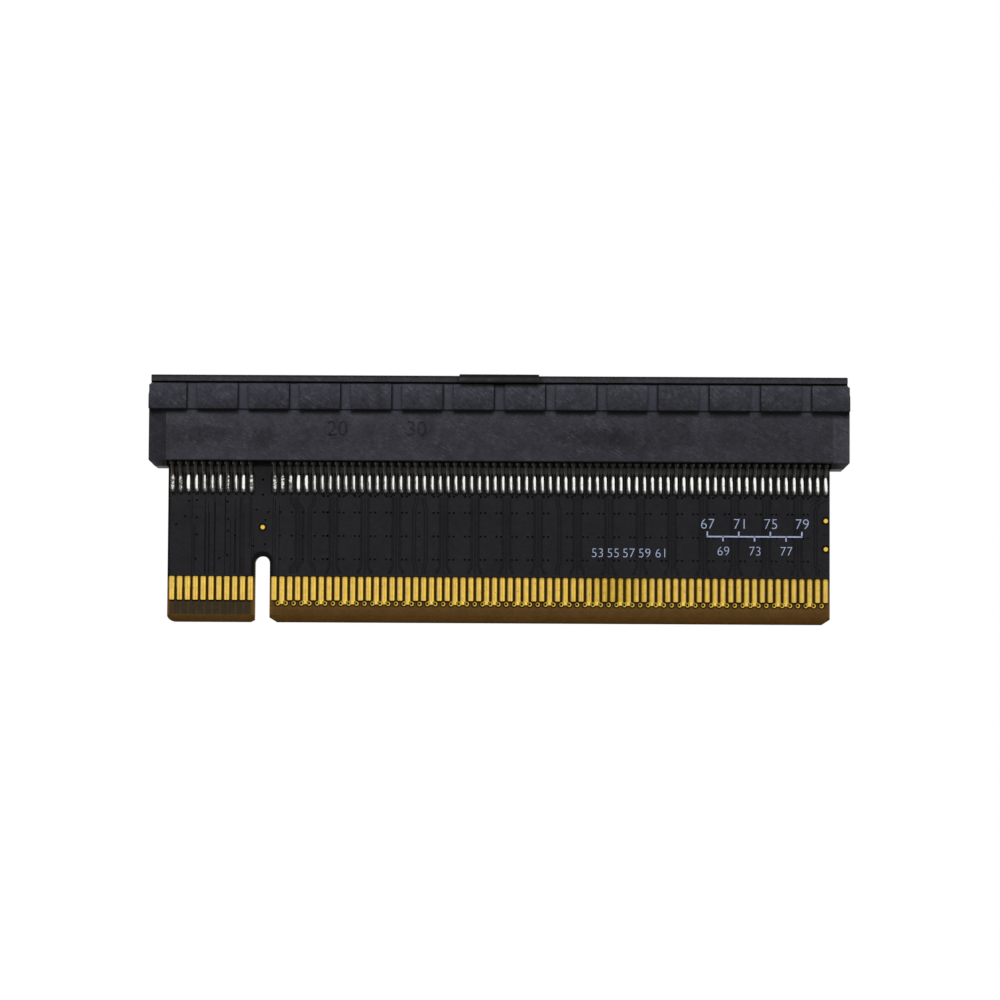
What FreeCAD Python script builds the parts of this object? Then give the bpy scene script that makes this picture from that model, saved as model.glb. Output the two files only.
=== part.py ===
import FreeCAD, Part
import math
import os

# Pass-through card for an expansion slot: a short board with 82 gold fingers on each face
# along its lower edge, and a slot connector that straddles its upper edge.
# Frame: X along the contact row, the component face towards -Y, Z up from the card's lower
# edge to the slot mouth. The origin is the middle of the card's lower edge. Millimetres.

Vector = FreeCAD.Vector

# ---------------------------------------------------------------- contact row
PITCH = 1.0                     # contact to contact
CONTACT_COUNT = 82              # on each face
COUNT_BEFORE_KEY = 11           # contacts on the short tab

# Contact numbers by their use. Each pair is given by its lower number, and what no list
# names is a ground contact.
PAIRS_FRONT = (14, 19, 23, 27, 33, 37, 41, 45, 50, 54, 58, 62, 66, 70, 74, 78)
PAIRS_BACK = (13, 16, 21, 25, 29, 35, 39, 43, 47, 52, 56, 60, 64, 68, 72, 76, 80)
POWER_FRONT = (1, 2, 3, 8, 10)
POWER_BACK = (2, 3, 9, 10)
SIDEBAND_FRONT = (5, 6, 9, 11, 12, 17, 30, 31, 48, 81, 82)
SIDEBAND_BACK = (1, 5, 6, 7, 8, 11, 19, 32, 33, 50)

# Lone traces of the component face: contact number, and sidestep in pitches.
LONE_TRACES = ((17, -0.5), (30, -0.25), (31, 0.25), (48, 0.25), (81, -0.25))
# Short-tab traces: place in contact numbers, and the shares of the trace height they span.
SHORT_TRACES_FRONT = (
    (3.8, 0.0, 0.62), (5.2, 0.0, 0.8), (5.7, 0.0, 0.8), (6.4, 0.0, 1.0), (7.75, 0.25, 1.0),
    (9.0, 0.0, 0.7), (9.8, 0.0, 1.0), (10.85, 0.35, 1.0),
)
SHORT_TRACES_BACK = ((3.5, 0.0, 1.0), (6.5, 0.0, 1.0), (8.5, 0.0, 1.0), (10.5, 0.0, 1.0))

# ---------------------------------------------------------------- board
BOARD_END_MARGIN = 0.55         # last contact's centre to the board's end
BOARD_HEIGHT = 21.8             # lower edge to the edge inside the connector
LAMINATE_THICKNESS = 1.45
COPPER_THICKNESS = 0.06         # plated copper, proud of the laminate
MASK_FILM = 0.02                # solder mask on the laminate
MASK_RISE = 0.03                # how far the mask rises over inner copper
BEVEL_HEIGHT = 0.9              # lead-in bevel along the lower edge
BEVEL_DEPTH = 0.33
NOTCH_WIDTH = 1.9               # key notch
NOTCH_MARGIN = 0.55             # notch's sides to the next contacts' centres
NOTCH_HEIGHT = 8.38
OUTER_CHAMFER_WIDTH = 1.0       # outer corners of the tabs
OUTER_CHAMFER_HEIGHT = 0.66
OUTER_CORNER_BULGE = 0.3        # how far the short tab's outer corner is rounded, 0 for a flat one
LONG_TAB_CHAMFER_WIDTH = 0.93   # long tab's corner at the notch
LONG_TAB_CHAMFER_HEIGHT = 0.58
SHORT_TAB_CHAMFER_WIDTH = 0.5   # short tab's corner at the notch
SHORT_TAB_CHAMFER_HEIGHT = 0.25

# ---------------------------------------------------------------- gold fingers
FINGER_WIDTH = 0.66
FINGER_CORNER = 0.12
FINGER_LOW = 2.8                # lower ends, above the card's lower edge
FINGER_LENGTH = 2.98
WIDE_HEAD_EXTRA = 0.05          # each side, at the head of a power finger
LONG_HEAD_LENGTH = 1.45         # head of the supply fingers at the board's end
SHORT_HEAD_LENGTH = 0.45        # head of the other supply fingers
LONG_HEAD_LAST = 3              # last contact with the long head
VIA_RING_RADIUS = 0.3
VIA_BARREL_RADIUS = 0.19
VIA_HOLE_RADIUS = 0.15
VIA_DROP = 0.4                  # via centres below the fingers' lower ends
FOOT_ARCH = 0.06                # how far the foot's lower edge arches over the vias' centres
FOOT_SPREAD = 0.12              # foot corners, in from the vias' centres
FOOT_HEEL = 0.16                # foot corners below the vias' centres
FOOT_SHOULDER = 0.1             # where the foot leaves the finger, above its lower end

# ---------------------------------------------------------------- solder mask and traces
MASK_INSET = 0.06               # mask edge to board edge
MASK_ABOVE_FINGERS = 0.08       # mask edge above the fingers' heads
MASK_LAND_CLEARANCE = 0.04      # mask opening round each land
MASK_VIA_CLEARANCE = 0.06
TRACE_WIDTH = 0.15
PAIR_GAP = 0.2                  # bare strip between the two traces of a pair
PAIR_MARGIN = 0.375             # bare strip on each outer side of a pair
TRACE_START = 0.3               # start of the trace grooves above the mask's lower edge
TRACE_FLARE_LOW = 0.5           # height where a pair starts to close up, above its start
TRACE_FLARE_HEIGHT = 0.45
TRACE_END = 0.45                # end of the trace grooves below the lands
JOG_START = 0.075               # sidestep of a jogged trace, as a share of the trace height
JOG_HEIGHT = 0.8
FIRST_PAIR_JOG = 0.68           # sidestep of the first pair
FREE_GROOVE_WIDTH = 0.2         # groove along a lone trace

# ---------------------------------------------------------------- test pads
TEST_PAD_RADIUS = 0.34
TEST_PAD_HOLE_RADIUS = 0.13
NOTCH_PAD_RISE = 3.68           # pad above the notch's round end
EDGE_PAD_RISE = 3.74            # lower pad at the board's far end, above the mask's edge
EDGE_PAD_SPACING = 3.6
EDGE_PAD_INSET = 0.5            # pad centre to the board's end

# ---------------------------------------------------------------- lands and solder
LAND_WIDTH = 0.7
LAND_LENGTH = 2.6
LAND_BELOW_TOP = 2.8            # lands' upper ends below the board's upper edge
SOLDER_SIDE_INSET = 0.02        # solder to the land's edges
SOLDER_SLOPE = 0.09             # how far the solder's sides lean in
SOLDER_HEIGHT = 0.17
SOLDER_TOP_DROP = 0.45          # solder's upper end below the land's upper end
SOLDER_LOW_GAP = 0.2            # solder's lower end above the land's lower end

# ---------------------------------------------------------------- spring contacts
STRIP_THICKNESS = 0.2
BEND_RADIUS = 0.35
TAIL_WIDTH = 0.38
SHOULDER_WIDTH = 0.66
BEAM_WIDTH = 0.5
FOOT_LOW_GAP = 0.5              # contact foot above the land's lower end
FOOT_TOP_GAP = 0.35             # contact foot's bend below the land's upper end
ROW_BEND_RISE = 0.22            # bend into the contact row, above the shoulders
ROW_OFFSET = 1.95               # contact row in the housing, from the middle plane
SHOULDER_DROP = 0.42            # shoulders below the housing wall
SHOULDER_TOP_GAP = 0.17         # shoulders' upper ends below the slot floor
BEAM_START = 0.5                # spring beam's root above the slot floor
PRELOAD_GAP = 0.62              # contact surface from the middle plane, no card in the slot
CONTACT_POINT_DROP = 3.1        # contact point below the slot mouth
TIP_RISE = 1.5
TIP_SPREAD = 0.6

# ---------------------------------------------------------------- connector housing
WALL_OVERLAP = 1.41             # how far the board's edge goes up into the housing
WALL_HEIGHT = 6.46              # lower wall, up to the band
BAND_HEIGHT = 3.28
GROOVE_HEIGHT = 0.2             # groove between band and rim
RIM_HEIGHT = 0.9
RAISED_EXTRA = 0.15             # raised part of the rim above the rest
WALL_HALF_DEPTH = 3.75
STRIP_PROUD = 0.12              # band strips proud of the wall
BLOCK_PROUD = 0.34              # band blocks proud of the wall
RIM_SETBACK = 0.08              # rim behind the wall's face
GROOVE_SETBACK = 0.45
RAISED_PROUD = 0.5              # raised part of the rim proud of the wall
RAISED_DROP = 0.05              # raised part reaches this far down into the groove
RAISED_BACK = 1.9               # raised part starts this far from the middle plane
BAND_END_WALL = 2.35            # band's end beyond the board's end
WALL_END_INSET = 0.04           # wall's end inside the band's end
RIM_END_INSET = 0.3
BAND_SLANT_WIDTH = 0.3          # slant of the band's upper end corners
BAND_SLANT_HEIGHT = 1.5
BLOCK_COUNT = 14
BLOCK_GAP = 1.4                 # strip between two blocks
END_BLOCK_LENGTH = 4.8
RAISED_LENGTH = 10.1
PANEL_WIDTH = 2.2               # slanted end panels of the lower wall
PANEL_STEP = 0.05
PANEL_TAPER = 0.3
EDGE_ROUND = 0.12
EAR_DROP = 0.7                  # ears below the wall
EAR_CHAMFER_WIDTH = 0.68
EAR_SETBACK = 0.05              # ears behind the end panels' faces
EAR_LEAD_DEPTH = 1.1            # slope of the ears' faces
BOARD_SIDE_CLEARANCE = 0.05     # board's ends to the ears
BOARD_FACE_CLEARANCE = 0.1      # copper to the recess walls
BOARD_TOP_CLEARANCE = 0.15
TROUGH_WALL = 1.0               # wall beside the hollow round the contact tails
TROUGH_HEIGHT = 0.8
SLOT_WIDTH = 1.8
SLOT_DEPTH = 8.2
SLOT_END_CLEARANCE = 0.15       # mating card's ends to the slot's ends
SLOT_LEAD_WIDTH = 0.4           # lead-in on each side of the slot
SLOT_LEAD_DEPTH = 0.4
KEY_CLEARANCE = 0.12            # key rib to each side of a mating card's notch
KEY_RIB_DROP = 0.6              # key rib's top below the slot mouth
CONTACT_CLEARANCE = 0.03        # contact to the passage that holds it
CAVITY_BACK = 0.25              # cavity's back wall behind the contact row
CAVITY_TOP_DEPTH = 0.8          # reach of the cavity's open top beyond the slot's wall
CAVITY_STEP_DROP = 3.4          # where the cavity narrows, below the slot mouth

# ---------------------------------------------------------------- legend
INK_THICKNESS = 0.02
SCALE_FIRST = 67                # first numbered contact of the printed contact scale
SCALE_STEP = 4                  # contacts between two numbers
SCALE_COUNT = 4
SCALE_ABOVE_MASK = 5.2          # scale's base line above the mask's lower edge
SCALE_LINE = 0.18
SCALE_TICK = 0.55
NUMBER_GAP = 0.35
NUMBER_WIDTH = 1.7
NUMBER_HEIGHT = 1.35

# ---------------------------------------------------------------- worked-out places
key_step = NOTCH_WIDTH + 2 * NOTCH_MARGIN
row_length = (CONTACT_COUNT - 2) * PITCH + key_step
board_half = row_length / 2 + BOARD_END_MARGIN
laminate_face = LAMINATE_THICKNESS / 2
copper_face = laminate_face + COPPER_THICKNESS
mask_face = laminate_face + MASK_FILM + MASK_RISE
finger_top = FINGER_LOW + FINGER_LENGTH
via_z = FINGER_LOW - VIA_DROP
mask_low = finger_top + MASK_ABOVE_FINGERS
land_top = BOARD_HEIGHT - LAND_BELOW_TOP
land_low = land_top - LAND_LENGTH
trace_low = mask_low + TRACE_START
trace_top = land_low - TRACE_END
wall_low = BOARD_HEIGHT - WALL_OVERLAP
band_low = wall_low + WALL_HEIGHT
band_top = band_low + BAND_HEIGHT
rim_low = band_top + GROOVE_HEIGHT
rim_top = rim_low + RIM_HEIGHT
slot_floor = rim_top - SLOT_DEPTH
band_half = board_half + BAND_END_WALL
wall_half = band_half - WALL_END_INSET
rim_half = band_half - RIM_END_INSET
slot_half_width = SLOT_WIDTH / 2
slot_half_length = board_half + SLOT_END_CLEARANCE
trough_top = wall_low + TROUGH_HEIGHT
trough_half_depth = WALL_HALF_DEPTH - TROUGH_WALL
ear_low = wall_low - EAR_DROP
ear_inner = board_half + BOARD_SIDE_CLEARANCE
beyond = max(SLOT_DEPTH, WALL_HEIGHT)   # cutters reach this far past what they cut


# ---------------------------------------------------------------- helpers
def contact_x(number):
    """Centre of a contact, counted from 1 at the short tab's end."""
    along = (number - 1) * PITCH
    if number > COUNT_BEFORE_KEY:
        along += key_step - PITCH
    return along - row_length / 2


key_x = contact_x(COUNT_BEFORE_KEY) + key_step / 2
contact_numbers = range(1, CONTACT_COUNT + 1)


def block(low_x, high_x, low_y, high_y, low_z, high_z):
    """Box between two opposite corners."""
    return Part.makeBox(high_x - low_x, high_y - low_y, high_z - low_z, Vector(low_x, low_y, low_z))


def rounded_block(low_x, high_x, low_y, high_y, low_z, high_z, radius):
    """Box with every edge rounded."""
    solid = block(low_x, high_x, low_y, high_y, low_z, high_z)
    return solid.makeFillet(radius, solid.Edges)


def corner_arc(before, corner, after, radius):
    """Start, middle and end of the arc that rounds a corner."""
    to_before = (before - corner).normalize()
    to_after = (after - corner).normalize()
    half_angle = to_before.getAngle(to_after) / 2
    reach = radius / math.tan(half_angle)
    bisector = (to_before + to_after).normalize()
    centre = corner + bisector * (radius / math.sin(half_angle))
    return corner + to_before * reach, centre - bisector * radius, corner + to_after * reach


def rounded_face(corners, radius):
    """Flat face inside a closed outline whose corners all have one radius."""
    count = len(corners)
    arcs = []
    for index in range(count):
        arcs.append(corner_arc(corners[index - 1], corners[index], corners[(index + 1) % count], radius))
    edges = []
    for index in range(count):
        start, middle, end = arcs[index]
        edges.append(Part.Arc(start, middle, end).toShape())
        edges.append(Part.makeLine(end, arcs[(index + 1) % count][0]))
    return Part.Face(Part.Wire(edges))


def face_through(corners):
    """Flat face inside a closed outline with sharp corners."""
    return Part.Face(Part.makePolygon(corners + [corners[0]]))


def xz(points):
    """Points of an outline drawn on the middle plane."""
    return [Vector(x, 0, z) for x, z in points]


def on_front(face, inner, outer):
    """Slab from an outline on the middle plane, between two depths in front of it."""
    slab = face.extrude(Vector(0, inner - outer, 0))
    slab.translate(Vector(0, -inner, 0))
    return slab


def through_card(face, depth):
    """Prism from an outline on the middle plane, to one depth on both faces."""
    prism = face.extrude(Vector(0, 2 * depth, 0))
    prism.translate(Vector(0, -depth, 0))
    return prism


def on_side(shape, side):
    """A shape made for the front, or its mirror image for the back."""
    if side == "front":
        return shape
    return shape.mirror(Vector(0, 0, 0), Vector(0, 1, 0))


def path_side(path, offset, normal):
    """Corner points of a line beside a path, at one distance from it."""
    points = []
    for index, point in enumerate(path):
        before = path[max(index - 1, 0)]
        after = path[min(index + 1, len(path) - 1)]
        incoming = (point - before) if index > 0 else (after - point)
        outgoing = (after - point) if index < len(path) - 1 else incoming
        first = normal.cross(incoming.normalize())
        second = normal.cross(outgoing.normalize())
        mitre = (first + second).normalize()
        points.append(point + mitre * (offset / mitre.dot(first)))
    return points


def ribbon_face(path, width, normal):
    """Flat band of one width that follows a path of straight runs."""
    left = path_side(path, width / 2, normal)
    right = path_side(path, -width / 2, normal)
    return face_through(left + right[::-1])


def bent_strip_face(path, thickness, radius, normal):
    """Section of a strip of one thickness that follows a path with round bends."""
    edges = []
    ends = []
    for side in (1, -1):
        line = path_side(path, side * thickness / 2, normal)
        start = line[0]
        for index in range(1, len(line) - 1):
            turn = (path[index] - path[index - 1]).cross(path[index + 1] - path[index]).dot(normal)
            bend = radius - math.copysign(thickness / 2, turn * side)
            first, middle, last = corner_arc(line[index - 1], line[index], line[index + 1], bend)
            edges.append(Part.makeLine(start, first))
            edges.append(Part.Arc(first, middle, last).toShape())
            start = last
        edges.append(Part.makeLine(start, line[-1]))
        ends.append((line[0], line[-1]))
    edges.append(Part.makeLine(ends[0][0], ends[1][0]))
    edges.append(Part.makeLine(ends[0][1], ends[1][1]))
    return Part.Face(Part.Wire(Part.__sortEdges__(edges)))


def kept(numbers):
    """Those contact numbers that the row has."""
    return [number for number in numbers if number <= CONTACT_COUNT]


def contact_groups(pairs, power, sideband):
    """Contact numbers of one face, by use."""
    lane = kept([number for pair in pairs for number in (pair, pair + 1)])
    named = set(lane) | set(power) | set(sideband)
    ground = [number for number in contact_numbers if number not in named]
    return {"power": kept(power), "ground": ground, "lane": lane, "sideband": kept(sideband)}


# ---------------------------------------------------------------- board
def edge_via_places():
    """Places of the plated holes under the long tab's fingers, between neighbours."""
    first = COUNT_BEFORE_KEY + 1
    return [contact_x(number + 0.5) for number in range(first, CONTACT_COUNT)]


def test_pad_places():
    """Centres of the round test pads, as (x, z)."""
    edge_x = board_half - EDGE_PAD_INSET
    return [
        (key_x, NOTCH_HEIGHT + NOTCH_PAD_RISE),
        (edge_x, mask_low + EDGE_PAD_RISE),
        (edge_x, mask_low + EDGE_PAD_RISE + EDGE_PAD_SPACING),
    ]


def card_hole(x, z, radius):
    """Cylinder across the card."""
    return Part.makeCylinder(radius, 2 * beyond, Vector(x, -beyond, z), Vector(0, 1, 0))


def notch_cutter(width, height):
    """Key notch: straight sides and a round upper end."""
    radius = width / 2
    slot = block(key_x - radius, key_x + radius, -beyond, beyond, -beyond, height - radius)
    return slot.fuse(card_hole(key_x, height - radius, radius))


def corner_cutter(x, inward, width, height):
    """Wedge that takes a lower corner off a tab. inward is +1 or -1."""
    corners = xz([(x, 0), (x + inward * width, 0), (x, height)])
    return through_card(face_through(corners), laminate_face)


def round_corner_cutter(x, inward, width, height, bulge):
    """Like corner_cutter, but the corner that it leaves is round."""
    share = (1 - bulge) / 2
    corner, low, middle, high = xz([
        (x, 0), (x + inward * width, 0), (x + inward * width * share, height * share), (x, height)])
    arc = Part.Arc(low, middle, high).toShape()
    edges = [Part.makeLine(corner, low), arc, Part.makeLine(high, corner)]
    return through_card(Part.Face(Part.Wire(edges)), laminate_face)


def make_laminate():
    """Glass-epoxy core with its key notch, bevelled and chamfered lower edge, and via holes."""
    board = block(-board_half, board_half, -laminate_face, laminate_face, 0, BOARD_HEIGHT)
    short_inner = key_x - NOTCH_WIDTH / 2
    long_inner = key_x + NOTCH_WIDTH / 2
    cutters = [
        notch_cutter(NOTCH_WIDTH, NOTCH_HEIGHT),
        round_corner_cutter(
            -board_half, 1, OUTER_CHAMFER_WIDTH, OUTER_CHAMFER_HEIGHT, OUTER_CORNER_BULGE),
        corner_cutter(board_half, -1, OUTER_CHAMFER_WIDTH, OUTER_CHAMFER_HEIGHT),
        corner_cutter(short_inner, -1, SHORT_TAB_CHAMFER_WIDTH, SHORT_TAB_CHAMFER_HEIGHT),
        corner_cutter(long_inner, 1, LONG_TAB_CHAMFER_WIDTH, LONG_TAB_CHAMFER_HEIGHT),
    ]
    bevel = face_through([
        Vector(-board_half, -laminate_face, 0),
        Vector(-board_half, -laminate_face + BEVEL_DEPTH, 0),
        Vector(-board_half, -laminate_face, BEVEL_HEIGHT),
    ]).extrude(Vector(2 * board_half, 0, 0))
    cutters += [on_side(bevel, "front"), on_side(bevel, "back")]
    cutters += [card_hole(x, via_z, VIA_BARREL_RADIUS) for x in edge_via_places()]
    cutters += [card_hole(x, z, TEST_PAD_HOLE_RADIUS) for x, z in test_pad_places()]
    return board.cut(cutters)


def trace_grooves(centre_line, offsets, width):
    """Grooves of one width beside each other along a centre line."""
    grooves = []
    for offset in offsets:
        path = [Vector(point.x + offset, 0, point.z) for point in centre_line]
        grooves.append(ribbon_face(path, width, Vector(0, 1, 0)))
    return grooves


def jogged_line(x, jog):
    """Vertical trace line that sidesteps near both ends and runs parallel between."""
    start = JOG_START * (trace_top - trace_low)
    points = [
        (x, trace_low),
        (x, trace_low + start),
        (x + jog, trace_low + start + JOG_HEIGHT),
        (x + jog, trace_top - start - JOG_HEIGHT),
        (x, trace_top - start),
        (x, trace_top),
    ]
    return xz(points)


def flared_groove(x, offset, spread):
    """Line of the groove beside a pair: it leaves the fingers wide and closes up to the pair."""
    points = [
        (x + offset + spread, trace_low),
        (x + offset + spread, trace_low + TRACE_FLARE_LOW),
        (x + offset, trace_low + TRACE_FLARE_LOW + TRACE_FLARE_HEIGHT),
        (x + offset, trace_top),
    ]
    return xz(points)


def pair_grooves(x, jog):
    """Bare strips between and beside the two traces of a pair."""
    trace_middle = (PAIR_GAP + TRACE_WIDTH) / 2
    outer = trace_middle + (TRACE_WIDTH + PAIR_MARGIN) / 2
    across = Vector(0, 1, 0)
    if jog:
        centre = jogged_line(x, jog)
        sides = trace_grooves(centre, (-outer, outer), PAIR_MARGIN)
        return sides + trace_grooves(centre, (0,), PAIR_GAP)
    spread = PITCH / 2 - trace_middle
    faces = [ribbon_face(flared_groove(x, -outer, -spread), PAIR_MARGIN, across)]
    faces.append(ribbon_face(flared_groove(x, outer, spread), PAIR_MARGIN, across))
    faces.append(ribbon_face(xz([(x, trace_low), (x, trace_top)]), PAIR_GAP, across))
    return faces


def lone_grooves(x, jog):
    """Bare strips on both sides of a lone trace."""
    offset = (TRACE_WIDTH + FREE_GROOVE_WIDTH) / 2
    return trace_grooves(jogged_line(x, jog), (-offset, offset), FREE_GROOVE_WIDTH)


def straight_groove(place, low_share, high_share):
    """Groove of a short-tab trace, over a share of the traces' height."""
    x = contact_x(place)
    height = trace_top - trace_low
    points = [(x, trace_low + low_share * height), (x, trace_low + high_share * height)]
    return ribbon_face(xz(points), FREE_GROOVE_WIDTH, Vector(0, 1, 0))


def front_grooves():
    """Trace pattern of the component face."""
    faces = []
    for pair in kept(PAIRS_FRONT):
        jog = FIRST_PAIR_JOG if pair == PAIRS_FRONT[0] else 0
        faces += pair_grooves(contact_x(pair + 0.5), jog)
    for number, jog in LONE_TRACES:
        if number <= CONTACT_COUNT:
            faces += lone_grooves(contact_x(number), jog * PITCH)
    return faces + [straight_groove(*trace) for trace in SHORT_TRACES_FRONT]


def back_grooves():
    """Trace pattern of the other face."""
    faces = []
    for pair in kept(PAIRS_BACK):
        faces += pair_grooves(contact_x(pair + 0.5), 0)
    return faces + [straight_groove(*trace) for trace in SHORT_TRACES_BACK]


def land_opening(number):
    """Outline of the mask opening round a land."""
    x = contact_x(number)
    half = LAND_WIDTH / 2 + MASK_LAND_CLEARANCE
    low = land_low - MASK_LAND_CLEARANCE
    high = land_top + MASK_LAND_CLEARANCE
    return face_through(xz([(x - half, low), (x + half, low), (x + half, high), (x - half, high)]))


def make_mask(grooves, pads):
    """Solder mask of one face, made for the front: a film that dips between the traces."""
    outer = board_half - MASK_INSET
    film = block(-outer, outer, -mask_face, -laminate_face, mask_low, BOARD_HEIGHT - MASK_INSET)
    cutters = [notch_cutter(NOTCH_WIDTH + 2 * MASK_INSET, NOTCH_HEIGHT + MASK_INSET)]
    cutters += [on_front(land_opening(n), 0, beyond) for n in contact_numbers]
    cutters += [card_hole(x, z, TEST_PAD_RADIUS + MASK_VIA_CLEARANCE) for x, z in pads]
    groove_floor = mask_face - MASK_RISE
    cutters += [on_front(face, groove_floor, beyond) for face in grooves]
    return film.cut(cutters)


# ---------------------------------------------------------------- copper
def rectangle(x, low_z, high_z, width):
    """Corners of an upright rectangle."""
    half = width / 2
    return xz([(x - half, low_z), (x + half, low_z), (x + half, high_z), (x - half, high_z)])


def make_finger(number, power):
    """Gold finger of the front, with a wider head on a supply finger."""
    x = contact_x(number)
    outline = rounded_face(rectangle(x, FINGER_LOW, finger_top, FINGER_WIDTH), FINGER_CORNER)
    finger = on_front(outline, laminate_face, copper_face)
    if not power:
        return finger
    head_length = LONG_HEAD_LENGTH if number <= LONG_HEAD_LAST else SHORT_HEAD_LENGTH
    head_corners = rectangle(x, finger_top - head_length, finger_top, FINGER_WIDTH + 2 * WIDE_HEAD_EXTRA)
    head = on_front(rounded_face(head_corners, FINGER_CORNER), laminate_face, copper_face)
    return finger.fuse(head).removeSplitter()


def make_ground_finger(number, rings):
    """Ground finger whose foot spreads to the plated holes on both sides of it."""
    finger = make_finger(number, False)
    if number <= COUNT_BEFORE_KEY:
        return finger
    x = contact_x(number)
    half = FINGER_WIDTH / 2
    ring = PITCH / 2
    right = [
        (x, via_z - FOOT_ARCH),
        (x + ring - FOOT_SPREAD, via_z - FOOT_HEEL),
        (x + ring, via_z),
        (x + ring - FOOT_SPREAD / 2, via_z + FOOT_HEEL),
        (x + half, FINGER_LOW + FOOT_SHOULDER),
    ]
    left = [(2 * x - side_x, z) for side_x, z in right[:0:-1]]
    foot = on_front(face_through(xz(right + left)), laminate_face, copper_face)
    joined = finger.fuse(foot).removeSplitter()
    near = [ring_disc for ring_x, ring_disc in rings if abs(ring_x - x) < PITCH]
    return joined.cut(near)


def ring_discs():
    """Outer discs of the vias' rings, across both faces, with their places."""
    return [(x, card_hole(x, via_z, VIA_RING_RADIUS)) for x in edge_via_places()]


def copper_disc(x, z, radius):
    """Round copper pad of the front."""
    return Part.makeCylinder(radius, COPPER_THICKNESS, Vector(x, -copper_face, z), Vector(0, 1, 0))


def make_edge_via(x):
    """Plated hole: a barrel through the laminate with a ring on each face."""
    ring = copper_disc(x, via_z, VIA_RING_RADIUS)
    barrel = Part.makeCylinder(
        VIA_BARREL_RADIUS, LAMINATE_THICKNESS, Vector(x, -laminate_face, via_z), Vector(0, 1, 0))
    solid = barrel.fuse([ring, on_side(ring, "back")])
    return solid.cut(card_hole(x, via_z, VIA_HOLE_RADIUS)).removeSplitter()


def make_test_pad(x, z):
    """Round gold test pad of the front, with its small hole."""
    return copper_disc(x, z, TEST_PAD_RADIUS).cut(card_hole(x, z, TEST_PAD_HOLE_RADIUS))


def make_land(number):
    """Copper land that a contact tail is soldered to."""
    corners = rectangle(contact_x(number), land_low, land_top, LAND_WIDTH)
    return on_front(rounded_face(corners, FINGER_CORNER), laminate_face, copper_face)


# ---------------------------------------------------------------- spring contacts
foot_low = land_low + FOOT_LOW_GAP
foot_top = land_top - FOOT_TOP_GAP
shoulder_low = wall_low - SHOULDER_DROP
shoulder_top = slot_floor - SHOULDER_TOP_GAP
beam_low = slot_floor + BEAM_START
contact_point_z = rim_top - CONTACT_POINT_DROP


def contact_path():
    """Middle line of a front contact, from its solder foot to its tip."""
    foot_y = -(copper_face + STRIP_THICKNESS / 2)
    point_y = -(PRELOAD_GAP + STRIP_THICKNESS / 2)
    corners = (
        (foot_y, foot_low),
        (foot_y, foot_top),
        (-ROW_OFFSET, shoulder_low + ROW_BEND_RISE),
        (-ROW_OFFSET, beam_low),
        (point_y, contact_point_z),
        (point_y - TIP_SPREAD, contact_point_z + TIP_RISE),
    )
    return [Vector(0, y, z) for y, z in corners]


def make_contact_blank():
    """One stamped and bent contact of the front, at x = 0."""
    along = Vector(1, 0, 0)
    section = bent_strip_face(contact_path(), STRIP_THICKNESS, BEND_RADIUS, along)
    section.translate(Vector(-SHOULDER_WIDTH / 2, 0, 0))
    strip = section.extrude(along * SHOULDER_WIDTH)
    tail = TAIL_WIDTH / 2
    shoulder = SHOULDER_WIDTH / 2
    beam = BEAM_WIDTH / 2
    top = rim_top + beyond
    low = foot_low - beyond
    right = [(tail, low), (tail, shoulder_low), (shoulder, shoulder_low), (shoulder, shoulder_top)]
    right += [(beam, shoulder_top), (beam, top)]
    left = [(-x, z) for x, z in right[::-1]]
    stamping = through_card(face_through(xz(right + left)), beyond)
    return strip.common(stamping).Solids[0]


def make_solder(number, contact):
    """Solder fillet round a contact's foot, made for the front."""
    x = contact_x(number)
    base = LAND_WIDTH / 2 - SOLDER_SIDE_INSET
    low = land_low + SOLDER_LOW_GAP
    high = land_top - SOLDER_TOP_DROP
    lower = [(x - base, low), (x + base, low), (x + base, high), (x - base, high)]
    lean = SOLDER_SLOPE
    upper = [(x - base + lean, low + lean), (x + base - lean, low + lean)]
    upper += [(x + base - lean, high - lean), (x - base + lean, high - lean)]
    wires = []
    for outline, depth in ((lower, copper_face), (upper, copper_face + SOLDER_HEIGHT)):
        corners = [Vector(px, -depth, pz) for px, pz in outline]
        wires.append(Part.makePolygon(corners + [corners[0]]))
    mound = Part.makeLoft(wires, True, True)
    return mound.cut(contact)


# ---------------------------------------------------------------- connector housing
def make_band():
    """Band round the housing: thin strips with prouder blocks between them."""
    strip_face = WALL_HALF_DEPTH + STRIP_PROUD
    block_face = WALL_HALF_DEPTH + BLOCK_PROUD
    band = rounded_block(
        -band_half, band_half, -strip_face, strip_face, band_low, band_top, EDGE_ROUND)
    inner_count = BLOCK_COUNT - 2
    inner_room = 2 * (band_half - END_BLOCK_LENGTH) - (BLOCK_COUNT - 1) * BLOCK_GAP
    lengths = [END_BLOCK_LENGTH] + [inner_room / inner_count] * inner_count + [END_BLOCK_LENGTH]
    blocks = []
    low_x = -band_half
    for length in lengths:
        blocks.append(rounded_block(
            low_x, low_x + length, -block_face, block_face, band_low, band_top, EDGE_ROUND))
        low_x += length + BLOCK_GAP
    whole = band.fuse(blocks)
    slant_z = band_top - BAND_SLANT_HEIGHT
    slant_x = band_half - BAND_SLANT_WIDTH
    outline = [(-band_half, band_low), (band_half, band_low), (band_half, slant_z)]
    outline += [(slant_x, band_top), (-slant_x, band_top), (-band_half, slant_z)]
    envelope = through_card(rounded_face(xz(outline), EDGE_ROUND), 2 * block_face)
    return whole.common(envelope)


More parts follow.
